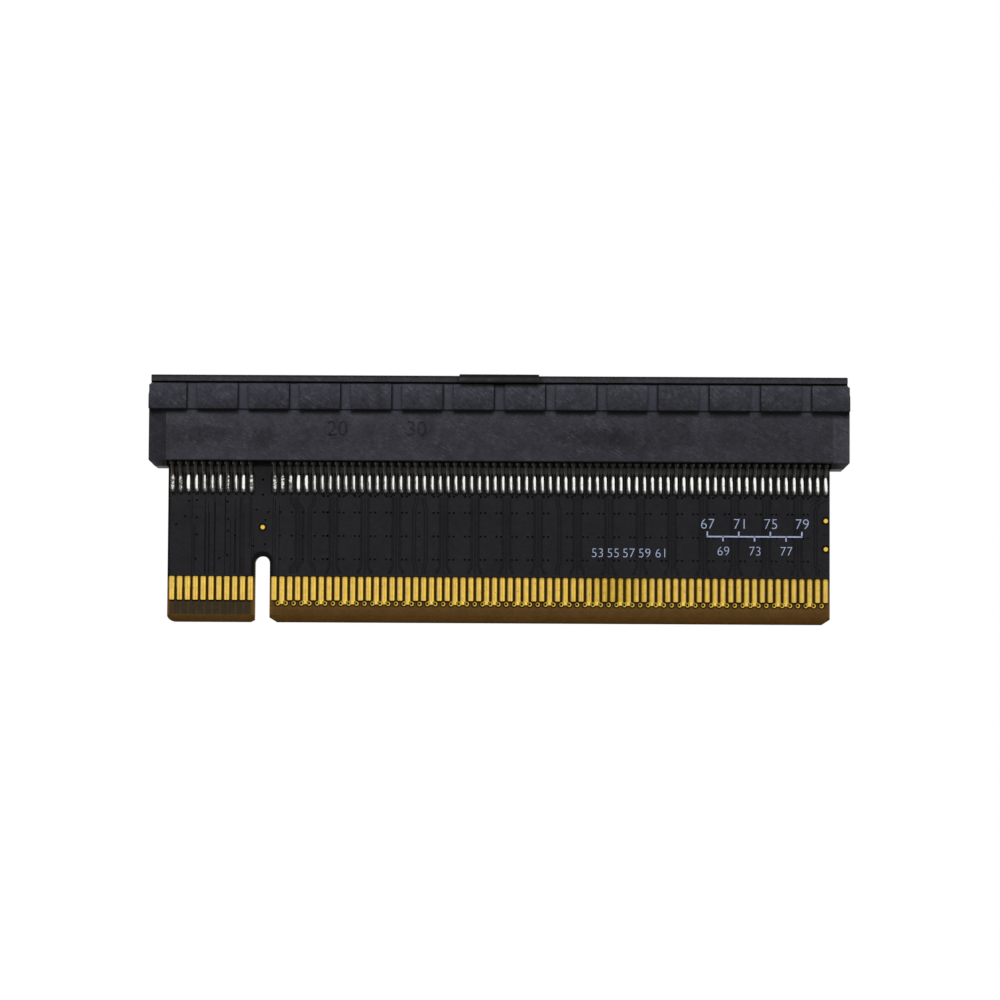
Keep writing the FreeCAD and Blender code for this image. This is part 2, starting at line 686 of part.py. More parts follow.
def make_rim():
    """Rim over the band, set back by a groove, with its raised middle part on the front."""
    rim_face = WALL_HALF_DEPTH - RIM_SETBACK
    neck_face = WALL_HALF_DEPTH - GROOVE_SETBACK
    neck = block(-rim_half, rim_half, -neck_face, neck_face, band_low, rim_low + RIM_HEIGHT / 2)
    rim = rounded_block(-rim_half, rim_half, -rim_face, rim_face, rim_low, rim_top, EDGE_ROUND)
    raised = rounded_block(
        -RAISED_LENGTH / 2, RAISED_LENGTH / 2, -(WALL_HALF_DEPTH + RAISED_PROUD), -RAISED_BACK,
        rim_low - RAISED_DROP, rim_top + RAISED_EXTRA, EDGE_ROUND)
    return neck.fuse([rim, raised])


def make_ear(end):
    """Ear beside the board's end, with a lead-in on both faces. end is +1 or -1."""
    wide = WALL_HALF_DEPTH - PANEL_TAPER - EAR_SETBACK
    narrow = wide - EAR_LEAD_DEPTH
    section = face_through([
        Vector(0, -wide, trough_top),
        Vector(0, -wide, wall_low),
        Vector(0, -narrow, ear_low),
        Vector(0, narrow, ear_low),
        Vector(0, wide, wall_low),
        Vector(0, wide, trough_top),
    ])
    ear = section.extrude(Vector(end * (wall_half - ear_inner), 0, 0))
    ear.translate(Vector(end * ear_inner, 0, 0))
    corner = xz([
        (end * wall_half, wall_low),
        (end * (wall_half + EAR_DROP), ear_low),
        (end * (wall_half - EAR_CHAMFER_WIDTH), ear_low),
    ])
    return ear.cut(through_card(face_through(corner), beyond))


def panel_cutters():
    """Wedges that set the lower wall's end panels back, more so towards the ends."""
    cutters = []
    inner = wall_half - PANEL_WIDTH
    for end in (-1, 1):
        corners = [
            Vector(end * inner, -WALL_HALF_DEPTH - PANEL_TAPER, wall_low - EAR_DROP),
            Vector(end * inner, -WALL_HALF_DEPTH + PANEL_STEP, wall_low - EAR_DROP),
            Vector(end * wall_half, -WALL_HALF_DEPTH + PANEL_TAPER, wall_low - EAR_DROP),
            Vector(end * wall_half, -WALL_HALF_DEPTH - PANEL_TAPER, wall_low - EAR_DROP),
        ]
        wedge = face_through(corners).extrude(Vector(0, 0, WALL_HEIGHT + EAR_DROP))
        cutters += [on_side(wedge, "front"), on_side(wedge, "back")]
    return cutters


def slot_cutters():
    """Card slot on both sides of the key rib, with its lead-in, and the board's recess."""
    rib_half = NOTCH_WIDTH / 2 - KEY_CLEARANCE
    top = rim_top + beyond
    width = slot_half_width
    cutters = [
        block(-slot_half_length, key_x - rib_half, -width, width, slot_floor, top),
        block(key_x + rib_half, slot_half_length, -width, width, slot_floor, top),
        block(key_x - rib_half, key_x + rib_half, -width, width, rim_top - KEY_RIB_DROP, top),
    ]
    lead = width + SLOT_LEAD_WIDTH
    lead_corners = [
        Vector(-slot_half_length, -width, rim_top - SLOT_LEAD_DEPTH),
        Vector(-slot_half_length, width, rim_top - SLOT_LEAD_DEPTH),
        Vector(-slot_half_length, lead, rim_top),
        Vector(-slot_half_length, lead, top),
        Vector(-slot_half_length, -lead, top),
        Vector(-slot_half_length, -lead, rim_top),
    ]
    cutters.append(face_through(lead_corners).extrude(Vector(2 * slot_half_length, 0, 0)))
    recess = copper_face + BOARD_FACE_CLEARANCE
    low = wall_low - beyond
    cutters.append(block(
        -ear_inner, ear_inner, -recess, recess, low, BOARD_HEIGHT + BOARD_TOP_CLEARANCE))
    cutters.append(block(
        -ear_inner, ear_inner, -trough_half_depth, trough_half_depth, low, trough_top))
    return cutters


def cavity_cutters(number):
    """Contact's cavity beside the slot and the passage below it that holds the contact."""
    x = contact_x(number)
    half = SHOULDER_WIDTH / 2 + CONTACT_CLEARANCE
    outer = ROW_OFFSET + STRIP_THICKNESS / 2 + CONTACT_CLEARANCE
    inner = ROW_OFFSET - STRIP_THICKNESS / 2 - CONTACT_CLEARANCE
    back = ROW_OFFSET + STRIP_THICKNESS / 2 + CAVITY_BACK
    top_back = slot_half_width + CAVITY_TOP_DEPTH
    step_z = rim_top - CAVITY_STEP_DROP
    passage = block(x - half, x + half, -outer, -inner, trough_top, slot_floor)
    lower = block(x - half, x + half, -back, 0, slot_floor, step_z)
    upper = block(x - half, x + half, -top_back, 0, step_z, rim_top + beyond)
    return [passage, lower, upper]


def make_housing():
    """Moulded housing of the slot connector."""
    wall = rounded_block(
        -wall_half, wall_half, -WALL_HALF_DEPTH, WALL_HALF_DEPTH, wall_low, band_top - EDGE_ROUND,
        EDGE_ROUND)
    body = wall.cut(panel_cutters()).fuse([make_band(), make_rim(), make_ear(-1), make_ear(1)])
    body = body.cut(slot_cutters())
    cavities = []
    for number in contact_numbers:
        for cutter in cavity_cutters(number):
            cavities += [on_side(cutter, "front"), on_side(cutter, "back")]
    return body.cut(cavities)


# ---------------------------------------------------------------- legend
def make_legend():
    """Printed scale that numbers some contacts: a base line, ticks and a field per number."""
    numbered = kept([SCALE_FIRST + SCALE_STEP * index for index in range(SCALE_COUNT)])
    base = mask_low + SCALE_ABOVE_MASK
    low_x = contact_x(numbered[0]) - SCALE_LINE / 2
    high_x = contact_x(numbered[-1]) + SCALE_LINE / 2
    bars = [block(low_x, high_x, -mask_face - INK_THICKNESS, -mask_face, base, base + SCALE_LINE)]
    fields = []
    field_low = base + SCALE_LINE + SCALE_TICK + NUMBER_GAP
    for number in numbered:
        x = contact_x(number)
        tick = rectangle(x, base, base + SCALE_LINE + SCALE_TICK, SCALE_LINE)
        bars.append(on_front(face_through(tick), mask_face, mask_face + INK_THICKNESS))
        field = rectangle(x, field_low, field_low + NUMBER_HEIGHT, NUMBER_WIDTH)
        fields.append(on_front(face_through(field), mask_face, mask_face + INK_THICKNESS))
    scale = bars[0].fuse(bars[1:]).removeSplitter()
    return [scale] + fields


# ---------------------------------------------------------------- all nodes
def group(solids):
    """Separate solids kept together in one node."""
    return solids[0] if len(solids) == 1 else Part.makeCompound(solids)


def make_face_nodes(side, groups, blank, rings):
    """Contacts, fingers, lands and solder of one face, with a node for each use of contact."""
    nodes = {}
    lands = []
    joints = []
    for use, numbers in groups.items():
        contacts = []
        fingers = []
        for number in numbers:
            contact = blank.translated(Vector(contact_x(number), 0, 0))
            contacts.append(on_side(contact, side))
            if use == "ground":
                finger = make_ground_finger(number, rings)
            else:
                finger = make_finger(number, use == "power")
            fingers.append(on_side(finger, side))
            lands.append(on_side(make_land(number), side))
            joints.append(on_side(make_solder(number, contact), side))
        nodes[f"contacts_{side}_{use}"] = group(contacts)
        nodes[f"fingers_{side}_{use}"] = group(fingers)
    nodes[f"solder_lands_{side}"] = group(lands)
    nodes[f"solder_joints_{side}"] = group(joints)
    return nodes


def make_nodes():
    """Every node of the card, by name."""
    nodes = {
        "connector_housing": make_housing(),
        "board_laminate": make_laminate(),
        "solder_mask_front": make_mask(front_grooves(), test_pad_places()),
        "solder_mask_back": on_side(make_mask(back_grooves(), []), "back"),
        "legend_front": group(make_legend()),
    }
    nodes["edge_vias"] = group([make_edge_via(x) for x in edge_via_places()])
    nodes["test_pads_front"] = group([make_test_pad(x, z) for x, z in test_pad_places()])
    blank = make_contact_blank()
    rings = ring_discs()
    front = contact_groups(PAIRS_FRONT, POWER_FRONT, SIDEBAND_FRONT)
    back = contact_groups(PAIRS_BACK, POWER_BACK, SIDEBAND_BACK)
    nodes.update(make_face_nodes("front", front, blank, rings))
    nodes.update(make_face_nodes("back", back, blank, rings))
    return nodes


def main():
    """Write one STEP file for each node."""
    os.makedirs("parts", exist_ok=True)
    for name, shape in make_nodes().items():
        shape.exportStep(f"parts/{name}.step")
        print(f"{name}: {len(shape.Solids)} solids, {shape.Volume:.3f} mm3, valid {shape.isValid()}")


main()
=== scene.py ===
"""Pass-through riser card: its finishes, fine pieces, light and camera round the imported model."""

import math

import bmesh
import bpy
from bpy.props import (
    FloatProperty,
    FloatVectorProperty,
    IntProperty,
    PointerProperty,
)
from mathutils import Matrix, Vector


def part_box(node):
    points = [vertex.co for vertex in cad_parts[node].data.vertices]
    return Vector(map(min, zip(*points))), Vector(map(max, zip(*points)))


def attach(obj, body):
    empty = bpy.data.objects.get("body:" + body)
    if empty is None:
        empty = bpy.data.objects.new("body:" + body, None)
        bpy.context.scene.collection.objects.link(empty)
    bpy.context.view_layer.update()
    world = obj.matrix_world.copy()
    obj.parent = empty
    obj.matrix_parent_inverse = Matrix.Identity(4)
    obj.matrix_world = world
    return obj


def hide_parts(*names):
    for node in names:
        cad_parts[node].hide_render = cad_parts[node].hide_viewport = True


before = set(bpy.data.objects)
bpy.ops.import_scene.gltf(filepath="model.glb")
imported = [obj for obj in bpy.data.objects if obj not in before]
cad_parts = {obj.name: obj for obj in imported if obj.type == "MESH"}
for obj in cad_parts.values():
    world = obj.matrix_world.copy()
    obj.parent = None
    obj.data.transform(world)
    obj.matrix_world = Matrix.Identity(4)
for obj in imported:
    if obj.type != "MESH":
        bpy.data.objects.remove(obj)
bpy.context.view_layer.update()

bl_info = {
    "name": "Riser Card",
    "version": (1, 0, 0),
    "blender": (4, 5, 0),
    "location": "3D Viewport > Sidebar > Riser Card",
    "description": "Finishes, fine pieces, light and camera of a pass-through riser card",
    "category": "Object",
}

MM = 0.001
FACES = {"front": -1, "back": 1}
GROUPS = ("power", "ground", "lane", "sideband")


# ---------------------------------------------------------------- places, in millimetres
def node_ends(node_name, axis):
    """A CAD node's two ends along an axis."""
    return [round(getattr(corner, axis) / MM, 4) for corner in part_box(node_name)]


FINGER_LOW, FINGER_TOP = node_ends("fingers_front_lane", "z")
LAND_LOW, LAND_TOP = node_ends("solder_lands_front", "z")
VIA_ROW = sum(node_ends("edge_vias", "z")) / 2
BOARD_END = node_ends("board_laminate", "x")[1]
BEVEL_TOP = 0.9
HOLE_RADIUS = 0.15              # plated holes under the fingers
PAD_HOLE_RADIUS = 0.135         # holes of the test pads, a little over their own radius
KEY_X = -30.0                   # middle of the key notch
NOTCH_ROUND = 7.62              # height that the dark rim of the notch's round end is drawn round
# the housing, up from its ears, and how far its parts stand from the board's middle plane
WALL_LOW = node_ends("connector_housing", "z")[0] + 0.7
BAND_LOW = WALL_LOW + 6.46
BAND_TOP = BAND_LOW + 3.28
RIM_LOW = BAND_TOP + 0.2
RIM_TOP = RIM_LOW + 0.9
PANEL_START = 42.16             # where the slanted end panels begin
FIRST_STRIP = -38.9             # middle of the band's first strip
RAISED_END = 5.05               # half the length of the rim's raised part
RIM_FACE = 3.67
WALL_FACE = 3.75
STRIP_FACE = 3.87
BLOCK_FACE = 4.09
RAISED_FACE = 4.25

# contacts that start a lane pair, contacts with a trace of their own, and the pads as (x, z)
LANE_PAIRS = {
    "front": (14, 19, 23, 27, 33, 37, 41, 45, 50, 54, 58, 62, 66, 70, 74, 78),
    "back": (13, 16, 21, 25, 29, 35, 39, 43, 47, 52, 56, 60, 64, 68, 72, 76, 80),
}
LONE_TRACES = (17, 30, 31, 48, 81)
TEST_PADS = ((KEY_X, 12.06), (41.55, 9.6), (41.55, 13.2))


# ---------------------------------------------------------------- sizes and colours
def length(name, description, default):
    """A size in millimetres, kept in metres."""
    return FloatProperty(name=name, description=description, default=default * MM, unit="LENGTH",
                         precision=5)


def colour(name, description, default):
    """A surface colour."""
    return FloatVectorProperty(name=name, description=description, default=default, size=3,
                               min=0.0, max=1.0, subtype="COLOR")


def share(name, description, default):
    """A share from 0 to 1."""
    return FloatProperty(name=name, description=description, default=default, min=0.0, max=1.0,
                         subtype="FACTOR")


class RISERCARD_PG_row(bpy.types.PropertyGroup):
    """Contact row."""

    pitch: length("Pitch", "From one contact to the next", 1.0)
    key_step: length("Key step", "From the last contact before the key to the first after it", 3.0)
    count: IntProperty(name="Contacts", description="Contacts on each face", default=82, min=2)
    before_key: IntProperty(name="Before the key", description="Contacts on the short tab",
                            default=11, min=1)


class RISERCARD_PG_housing(bpy.types.PropertyGroup):
    """Card slot housing."""

    edge_round: length("Edge rounding", "Width of the rounded outer edges", 0.07)
    plastic: colour("Plastic", "Moulded plastic of the lower wall", (0.0215, 0.0208, 0.0270))
    block_tint: colour("Block tint", "How the blocks differ from the wall", (0.93, 0.99, 1.0))
    rim_tint: colour("Rim tint", "How the rim differs from the wall", (0.94, 0.96, 0.85))
    scratch: colour("Scratches", "Light added along fine scratches", (0.030, 0.031, 0.038))
    block_step: length("Block step", "From one strip of the band to the next", 6.48333)
    numeral_height: length("Numeral height", "Moulded numerals on the lower wall", 1.95)
    numeral_rise: length("Numeral rise", "Moulded numerals above the wall", 0.05)
    numeral_base: length("Numeral place", "Lower ends of the numerals above the card's edge", 23.6)


class RISERCARD_PG_board(bpy.types.PropertyGroup):
    """Circuit board."""

    mask: colour("Solder mask", "Solder mask over copper", (0.0034, 0.0033, 0.0050))
    mask_low: colour("Bare strip", "Solder mask in the grooves beside the traces",
                     (0.0018, 0.0018, 0.0030))
    short_tab: colour("Short tab", "Glass-epoxy below the short tab's fingers",
                      (0.0325, 0.0230, 0.0120))
    long_tab: colour("Long tab", "Glass-epoxy below the long tab's fingers",
                     (0.087, 0.0455, 0.0125))
    bevel: colour("Bevel", "Ground bevel of the lower edge", (0.122, 0.058, 0.0118))
    lip: colour("Bevel's lip", "Lowest edge of the bevel", (0.034, 0.027, 0.022))
    gap: colour("Gap", "Glass-epoxy between the fingers", (0.028, 0.0130, 0.0005))
    via_dark: colour("Via, dark", "Resin in the vias, darker part", (0.0006, 0.0006, 0.0008))
    via_pale: colour("Via, pale", "Resin in the vias, paler part", (0.0016, 0.0016, 0.0022))
    # colours of the painted shade in the dips beside traces
    line_dark: colour("Line, dark", "Dip beside a trace, darker part", (0.0040, 0.0040, 0.0048))
    line_pale: colour("Line, pale", "Dip beside a trace, paler part", (0.0095, 0.0095, 0.0112))
    ink: colour("Ink", "Printed marks", (0.36, 0.43, 0.62))
    dot_radius: length("Dot radius", "Covered via holes in the solder mask", 0.18)
    dot_rise: length("Dot rise", "Rim of a covered via hole above the mask", 0.008)
    line_radius: length("Line radius", "Fine lines of the traces", 0.12)


class RISERCARD_PG_metal(bpy.types.PropertyGroup):
    """Metals."""

    gold: colour("Gold", "Gold plate of the fingers", (0.96, 0.64, 0.095))
    # painted reflection on one side of each finger
    rose: colour("Rose gold", "Rubbed side of the fingers", (0.86, 0.58, 0.20))
    alloy: colour("Contact alloy", "Solder tails of the spring contacts", (0.017, 0.0165, 0.014))
    burnt: colour("Burnt alloy", "Tails browned by flux", (0.020, 0.0152, 0.0102))
    spring: colour("Spring plating", "Spring contacts inside the slot", (0.62, 0.42, 0.14))
    # painted shade: the tinned lands are dark, as in the shadow round the joints
    tin: colour("Tin", "Tinned copper, dulled by flux", (0.018, 0.018, 0.017))
    solder: colour("Solder", "Solder joints", (0.97, 0.97, 0.94))


class RISERCARD_PG_solder(bpy.types.PropertyGroup):
    """Solder joints."""

    width: length("Width", "Joint across the row", 0.66)
    length: length("Length", "Joint up the board", 2.44)
    rise: length("Rise", "Joint above its land, over the contact's foot", 0.25)
    bright: share("Bright width", "Share of a joint that the smooth crest takes", 0.46)
    seed: IntProperty(name="Seed", description="Which set of uneven joints is made", default=7)


class RISERCARD_PG_stage(bpy.types.PropertyGroup):
    """Floor, light and camera."""

    floor: length("Floor", "Floor below the card's lower edge", 60.0)
    floor_size: length("Floor size", "Floor across", 6000.0)
    floor_tone: colour("Floor tone", "Floor where the card shades it", (0.16, 0.16, 0.16))
    power: FloatProperty(name="Light", description="Each soft light above the card",
                         default=0.72, min=0.0, unit="POWER")
    light_size: length("Light size", "Each soft light across", 120.0)
    light_side: length("Light to the side", "Soft lights from the middle", 130.0)
    light_front: length("Light in front", "Soft lights from the card's plane", 100.0)
    light_height: length("Light height", "Soft lights above the card's edge", 190.0)
    room: share("Room light", "Light from all round", 0.12)
    distance: length("Camera distance", "Camera to its target", 480.0)
    lens: FloatProperty(name="Lens", description="Focal length in millimetres", default=135.7,
                        min=1.0, unit="CAMERA")
    elevation: FloatProperty(name="Elevation", description="Camera above the target",
                             default=math.radians(-3.5), subtype="ANGLE")
    turn: FloatProperty(name="Turn", description="Camera round the object",
                        default=math.radians(0.44), subtype="ANGLE")
    roll: FloatProperty(name="Roll", description="Camera about its own line of sight",
                        default=math.radians(0.319), subtype="ANGLE")
    target: FloatVectorProperty(name="Target", description="Point that the camera looks at",
                                default=(0.0001435, 0.0, 0.015713), size=3, subtype="TRANSLATION",
                                unit="LENGTH", precision=6)


class RISERCARD_PG_settings(bpy.types.PropertyGroup):
    """All the sizes and colours."""

    row: PointerProperty(type=RISERCARD_PG_row, name="Contact row")
    housing: PointerProperty(type=RISERCARD_PG_housing, name="Housing")
    board: PointerProperty(type=RISERCARD_PG_board, name="Board")
    metal: PointerProperty(type=RISERCARD_PG_metal, name="Metals")
    solder: PointerProperty(type=RISERCARD_PG_solder, name="Solder")
    stage: PointerProperty(type=RISERCARD_PG_stage, name="Stage")


def settings():
    """The scene's sizes and colours."""
    return bpy.context.scene.riser_card


def contact_x(number):
    """Centre of a contact along the row, counted from 1 at the short tab's end."""
    row = settings().row
    along = (number - 1) * row.pitch
    if number > row.before_key:
        along += row.key_step - row.pitch
    whole = (row.count - 2) * row.pitch + row.key_step
    return along - whole / 2


# ---------------------------------------------------------------- node helpers
def put(tree, kind, inputs=None, **choices):
    """Adds a node, makes its choices and feeds its inputs with values or other nodes' outputs."""
    node = tree.nodes.new(kind)
    for name, value in choices.items():
        setattr(node, name, value)
    for key, value in (inputs or {}).items():
        if isinstance(value, bpy.types.NodeSocket):
            tree.links.new(value, node.inputs[key])
        else:
            node.inputs[key].default_value = value
    return node


def calc(tree, operation, *values, clamp=False):
    """Result of a maths node."""
    node = put(tree, "ShaderNodeMath", dict(enumerate(values)), operation=operation,
               use_clamp=clamp)
    return node.outputs[0]


def between(tree, value, low, high, to_low=0.0, to_high=1.0):
    """A value taken from one range to another and held inside it."""
    node = put(tree, "ShaderNodeMapRange", {0: value, 1: low, 2: high, 3: to_low, 4: to_high},
               clamp=True)
    return node.outputs[0]


def times(tree, *values):
    """All the values multiplied."""
    result = values[0]
    for value in values[1:]:
        result = calc(tree, "MULTIPLY", result, value)
    return result


def highest(tree, *values):
    """The highest of the values."""
    result = values[0]
    for value in values[1:]:
        result = calc(tree, "MAXIMUM", result, value)
    return result


def plus(tree, first, second):
    """Two values added."""
    return calc(tree, "ADD", first, second)


def minus(tree, first, second):
    """The first value less the second."""
    return calc(tree, "SUBTRACT", first, second)


def unsigned(tree, value):
    """A value without its sign."""
    return calc(tree, "ABSOLUTE", value)


def mix_colours(tree, factor, first, second, blend="MIX"):
    """Colour between two colours, each a plain one or another node's output."""
    first, second = [tint if isinstance(tint, bpy.types.NodeSocket) else (*tint, 1.0)
                     for tint in (first, second)]
    node = put(tree, "ShaderNodeMix", {0: factor, 6: first, 7: second}, data_type="RGBA",
               blend_type=blend)
    return node.outputs[2]


def noise(tree, vector, scale, detail=2.0, roughness=0.5, distortion=0.0):
    """Noise value between 0 and 1."""
    node = put(tree, "ShaderNodeTexNoise", {
        "Vector": vector, "Scale": scale, "Detail": detail, "Roughness": roughness,
        "Distortion": distortion})
    return node.outputs[0]


def make_group(name, inputs, outputs, kind_of_tree="ShaderNodeTree"):
    """New node group with named inputs and outputs; returns tree, inputs and result sockets."""
    tree = bpy.data.node_groups.new(name, kind_of_tree)
    for socket_name, kind, default in inputs:
        socket = tree.interface.new_socket(name=socket_name, in_out="INPUT", socket_type=kind)
        if default is not None:
            socket.default_value = default
    for socket_name, kind in outputs:
        tree.interface.new_socket(name=socket_name, in_out="OUTPUT", socket_type=kind)
    source = tree.nodes.new("NodeGroupInput")
    result = tree.nodes.new("NodeGroupOutput")
    return tree, source.outputs, result.inputs


FLOAT = "NodeSocketFloat"
VECTOR = "NodeSocketVector"
MATERIAL = "NodeSocketMaterial"
GEOMETRY = "NodeSocketGeometry"


def cloud_group(name):
    """Soft uneven patches with finer ones inside."""
    tree, given, result = make_group(
        name, [("Place", VECTOR, None), ("Size", FLOAT, 4.0), ("Contrast", FLOAT, 1.0)],
        [("Value", FLOAT)])
    scale = calc(tree, "DIVIDE", 1.0, given["Size"])
    wide = noise(tree, given["Place"], scale, 3.0, 0.6, 0.4)
    fine = noise(tree, given["Place"], times(tree, scale, 5.3), 3.0, 0.65, 0.2)
    both = plus(tree, times(tree, wide, 0.62), times(tree, fine, 0.38))
    centred = times(tree, minus(tree, both, 0.5), given["Contrast"])
    tree.links.new(calc(tree, "ADD", centred, 0.5, clamp=True), result["Value"])
    return tree


def streak_group(name):
    """Fine brushed lines that run one way, with gaps."""
    tree, given, result = make_group(
        name, [("Place", VECTOR, None), ("Slant", FLOAT, 0.6), ("Width", FLOAT, 0.12),
               ("Length", FLOAT, 2.5)], [("Value", FLOAT)])
    turned = put(tree, "ShaderNodeVectorRotate", {"Vector": given["Place"],
                                                  "Angle": given["Slant"]},
                 rotation_type="Y_AXIS").outputs[0]
    parts = put(tree, "ShaderNodeSeparateXYZ", {0: turned}).outputs
    along = calc(tree, "DIVIDE", parts[0], given["Length"])
    across = calc(tree, "DIVIDE", parts[2], given["Width"])
    stretched = put(tree, "ShaderNodeCombineXYZ", {0: along, 1: parts[1], 2: across}).outputs[0]
    lines = noise(tree, stretched, 1.0, 2.0, 0.6, 0.3)
    tree.links.new(between(tree, lines, 0.46, 0.72), result["Value"])
    return tree


def grain_group(name):
    """Fine surface grain, as a height."""
    tree, given, result = make_group(
        name, [("Place", VECTOR, None), ("Size", FLOAT, 0.1)], [("Height", FLOAT)])
    scale = calc(tree, "DIVIDE", 1.0, given["Size"])
    tree.links.new(noise(tree, given["Place"], scale, 2.0, 0.6), result["Height"])
    return tree


def speck_group(name):
    """Scattered small specks."""
    tree, given, result = make_group(
        name, [("Place", VECTOR, None), ("Spacing", FLOAT, 1.0), ("Radius", FLOAT, 0.1),
               ("Share", FLOAT, 0.5)], [("Mask", FLOAT)])
    cells = put(tree, "ShaderNodeTexVoronoi", {
        "Vector": given["Place"], "Scale": calc(tree, "DIVIDE", 1.0, given["Spacing"])})
    reach = times(tree, cells.outputs["Distance"], given["Spacing"])
    dot = between(tree, reach, given["Radius"], times(tree, given["Radius"], 0.5))
    chosen = put(tree, "ShaderNodeSeparateColor", {0: cells.outputs["Color"]}).outputs[0]
    picked = calc(tree, "LESS_THAN", chosen, given["Share"])
    tree.links.new(times(tree, dot, picked), result["Mask"])
    return tree


GROUP_MAKERS = {
    "Clouding": cloud_group,
    "Brushed Lines": streak_group,
    "Fine Grain": grain_group,
    "Specks": speck_group,
}


def use(tree, name, **values):
    """A node group in place, made once, with its own values; returns its first output."""
    node = tree.nodes.new("ShaderNodeGroup")
    node.node_tree = bpy.data.node_groups.get(name) or GROUP_MAKERS[name](name)
    for name, value in values.items():
        if isinstance(value, bpy.types.NodeSocket):
            tree.links.new(value, node.inputs[name])
        else:
            node.inputs[name].default_value = value
    return node.outputs[0]


class Finish:
    """A material in the making: its tree, its place in millimetres and its shader."""

    def __init__(self, name, **plain):
        self.material = bpy.data.materials.new(name)
        self.material.use_nodes = True
        self.tree = self.material.node_tree
        self.tree.nodes.clear()
        self.shader = put(self.tree, "ShaderNodeBsdfPrincipled", plain)
        output = self.tree.nodes.new("ShaderNodeOutputMaterial")
        self.tree.links.new(self.shader.outputs[0], output.inputs[0])
        place = self.tree.nodes.new("ShaderNodeTexCoord").outputs["Object"]
        self.place = put(self.tree, "ShaderNodeVectorMath", {0: place, "Scale": 1 / MM},
                         operation="SCALE").outputs[0]
        self.x, self.y, self.z = put(self.tree, "ShaderNodeSeparateXYZ", {0: self.place}).outputs

    def feed(self, name, value):
        """Feeds one of the shader's inputs."""
        self.tree.links.new(value, self.shader.inputs[name])

    def band(self, value, low, high, soft):
        """1 where a value lies between two limits, with soft ends."""
        return times(self.tree, between(self.tree, value, low - soft, low),
                     between(self.tree, value, high + soft, high))

    def scaled(self, tint, factor):
        """A colour made brighter or darker by a factor."""
        return put(self.tree, "ShaderNodeVectorMath", {0: tint, "Scale": factor},
                   operation="SCALE").outputs[0]

    def mixed(self, factor, first, second):
        """Value between two values."""
        return put(self.tree, "ShaderNodeMix", {0: factor, 2: first, 3: second}).outputs[0]

    def clouds(self, size, contrast):
        """Soft uneven patches of a size in millimetres."""
        return use(self.tree, "Clouding", Place=self.place, Size=size, Contrast=contrast)

    def streaks(self, slant, width, length):
        """Fine brushed lines, turned by a slant in radians, with their size in millimetres."""
        return use(self.tree, "Brushed Lines", Place=self.place, Slant=slant, Width=width,
                   Length=length)

    def grain(self, size):
        """Fine surface grain of a size in millimetres, as a height."""
        return use(self.tree, "Fine Grain", Place=self.place, Size=size)

    def distance(self, x, z, centre_x, centre_z):
        """Distance from a place in the board's plane."""
        across = minus(self.tree, x, centre_x)
        up = minus(self.tree, z, centre_z)
        squares = plus(self.tree, times(self.tree, across, across), times(self.tree, up, up))
        return calc(self.tree, "SQRT", squares)

    def above_fingers(self):
        """1 well above the fingers."""
        return between(self.tree, self.z, 8.0, 8.5)

    def near_pads(self, inner, outer):
        """1 inside a radius round each test pad, 0 beyond an outer one."""
        right = between(self.tree, self.x, 0.0, 1.0)
        halfway = (TEST_PADS[1][1] + TEST_PADS[2][1]) / 2
        upper = between(self.tree, self.z, halfway - 0.1, halfway + 0.1)
        pad_x = self.mixed(right, TEST_PADS[0][0], TEST_PADS[1][0])
        pad_z = self.mixed(right, TEST_PADS[0][1], self.mixed(upper, TEST_PADS[1][1], TEST_PADS[2][1]))
        near = between(self.tree, self.distance(self.x, self.z, pad_x, pad_z), outer, inner)
        return times(self.tree, near, between(self.tree, self.y, 0.1, -0.1))

    def repeat(self, value, start, step):
        """Distance, with its sign, from the nearest of a row of places."""
        turns = calc(self.tree, "DIVIDE", minus(self.tree, value, start), step)
        near = minus(self.tree, calc(self.tree, "FRACT", plus(self.tree, turns, 0.5)), 0.5)
        return times(self.tree, near, step)

    def contact_offset(self):
        """Place along the row from the nearest contact, -0.5 to 0.5 mm; they stand at halves."""
        return minus(self.tree, calc(self.tree, "FRACT", self.x), 0.5)

    def bump(self, height, distance, strength=1.0):
        """Raises the surface by a height map; distance in millimetres."""
        node = put(self.tree, "ShaderNodeBump", {"Height": height, "Distance": distance * MM,
                                                 "Strength": strength})
        self.feed("Normal", node.outputs[0])


# ---------------------------------------------------------------- finishes
# dull patches on the lower wall: place along it, height, narrowness
OILY_PATCHES = ((-37.3, 23.7, 0.36), (-29.8, 23.2, 0.62), (14.0, 23.4, 0.2))


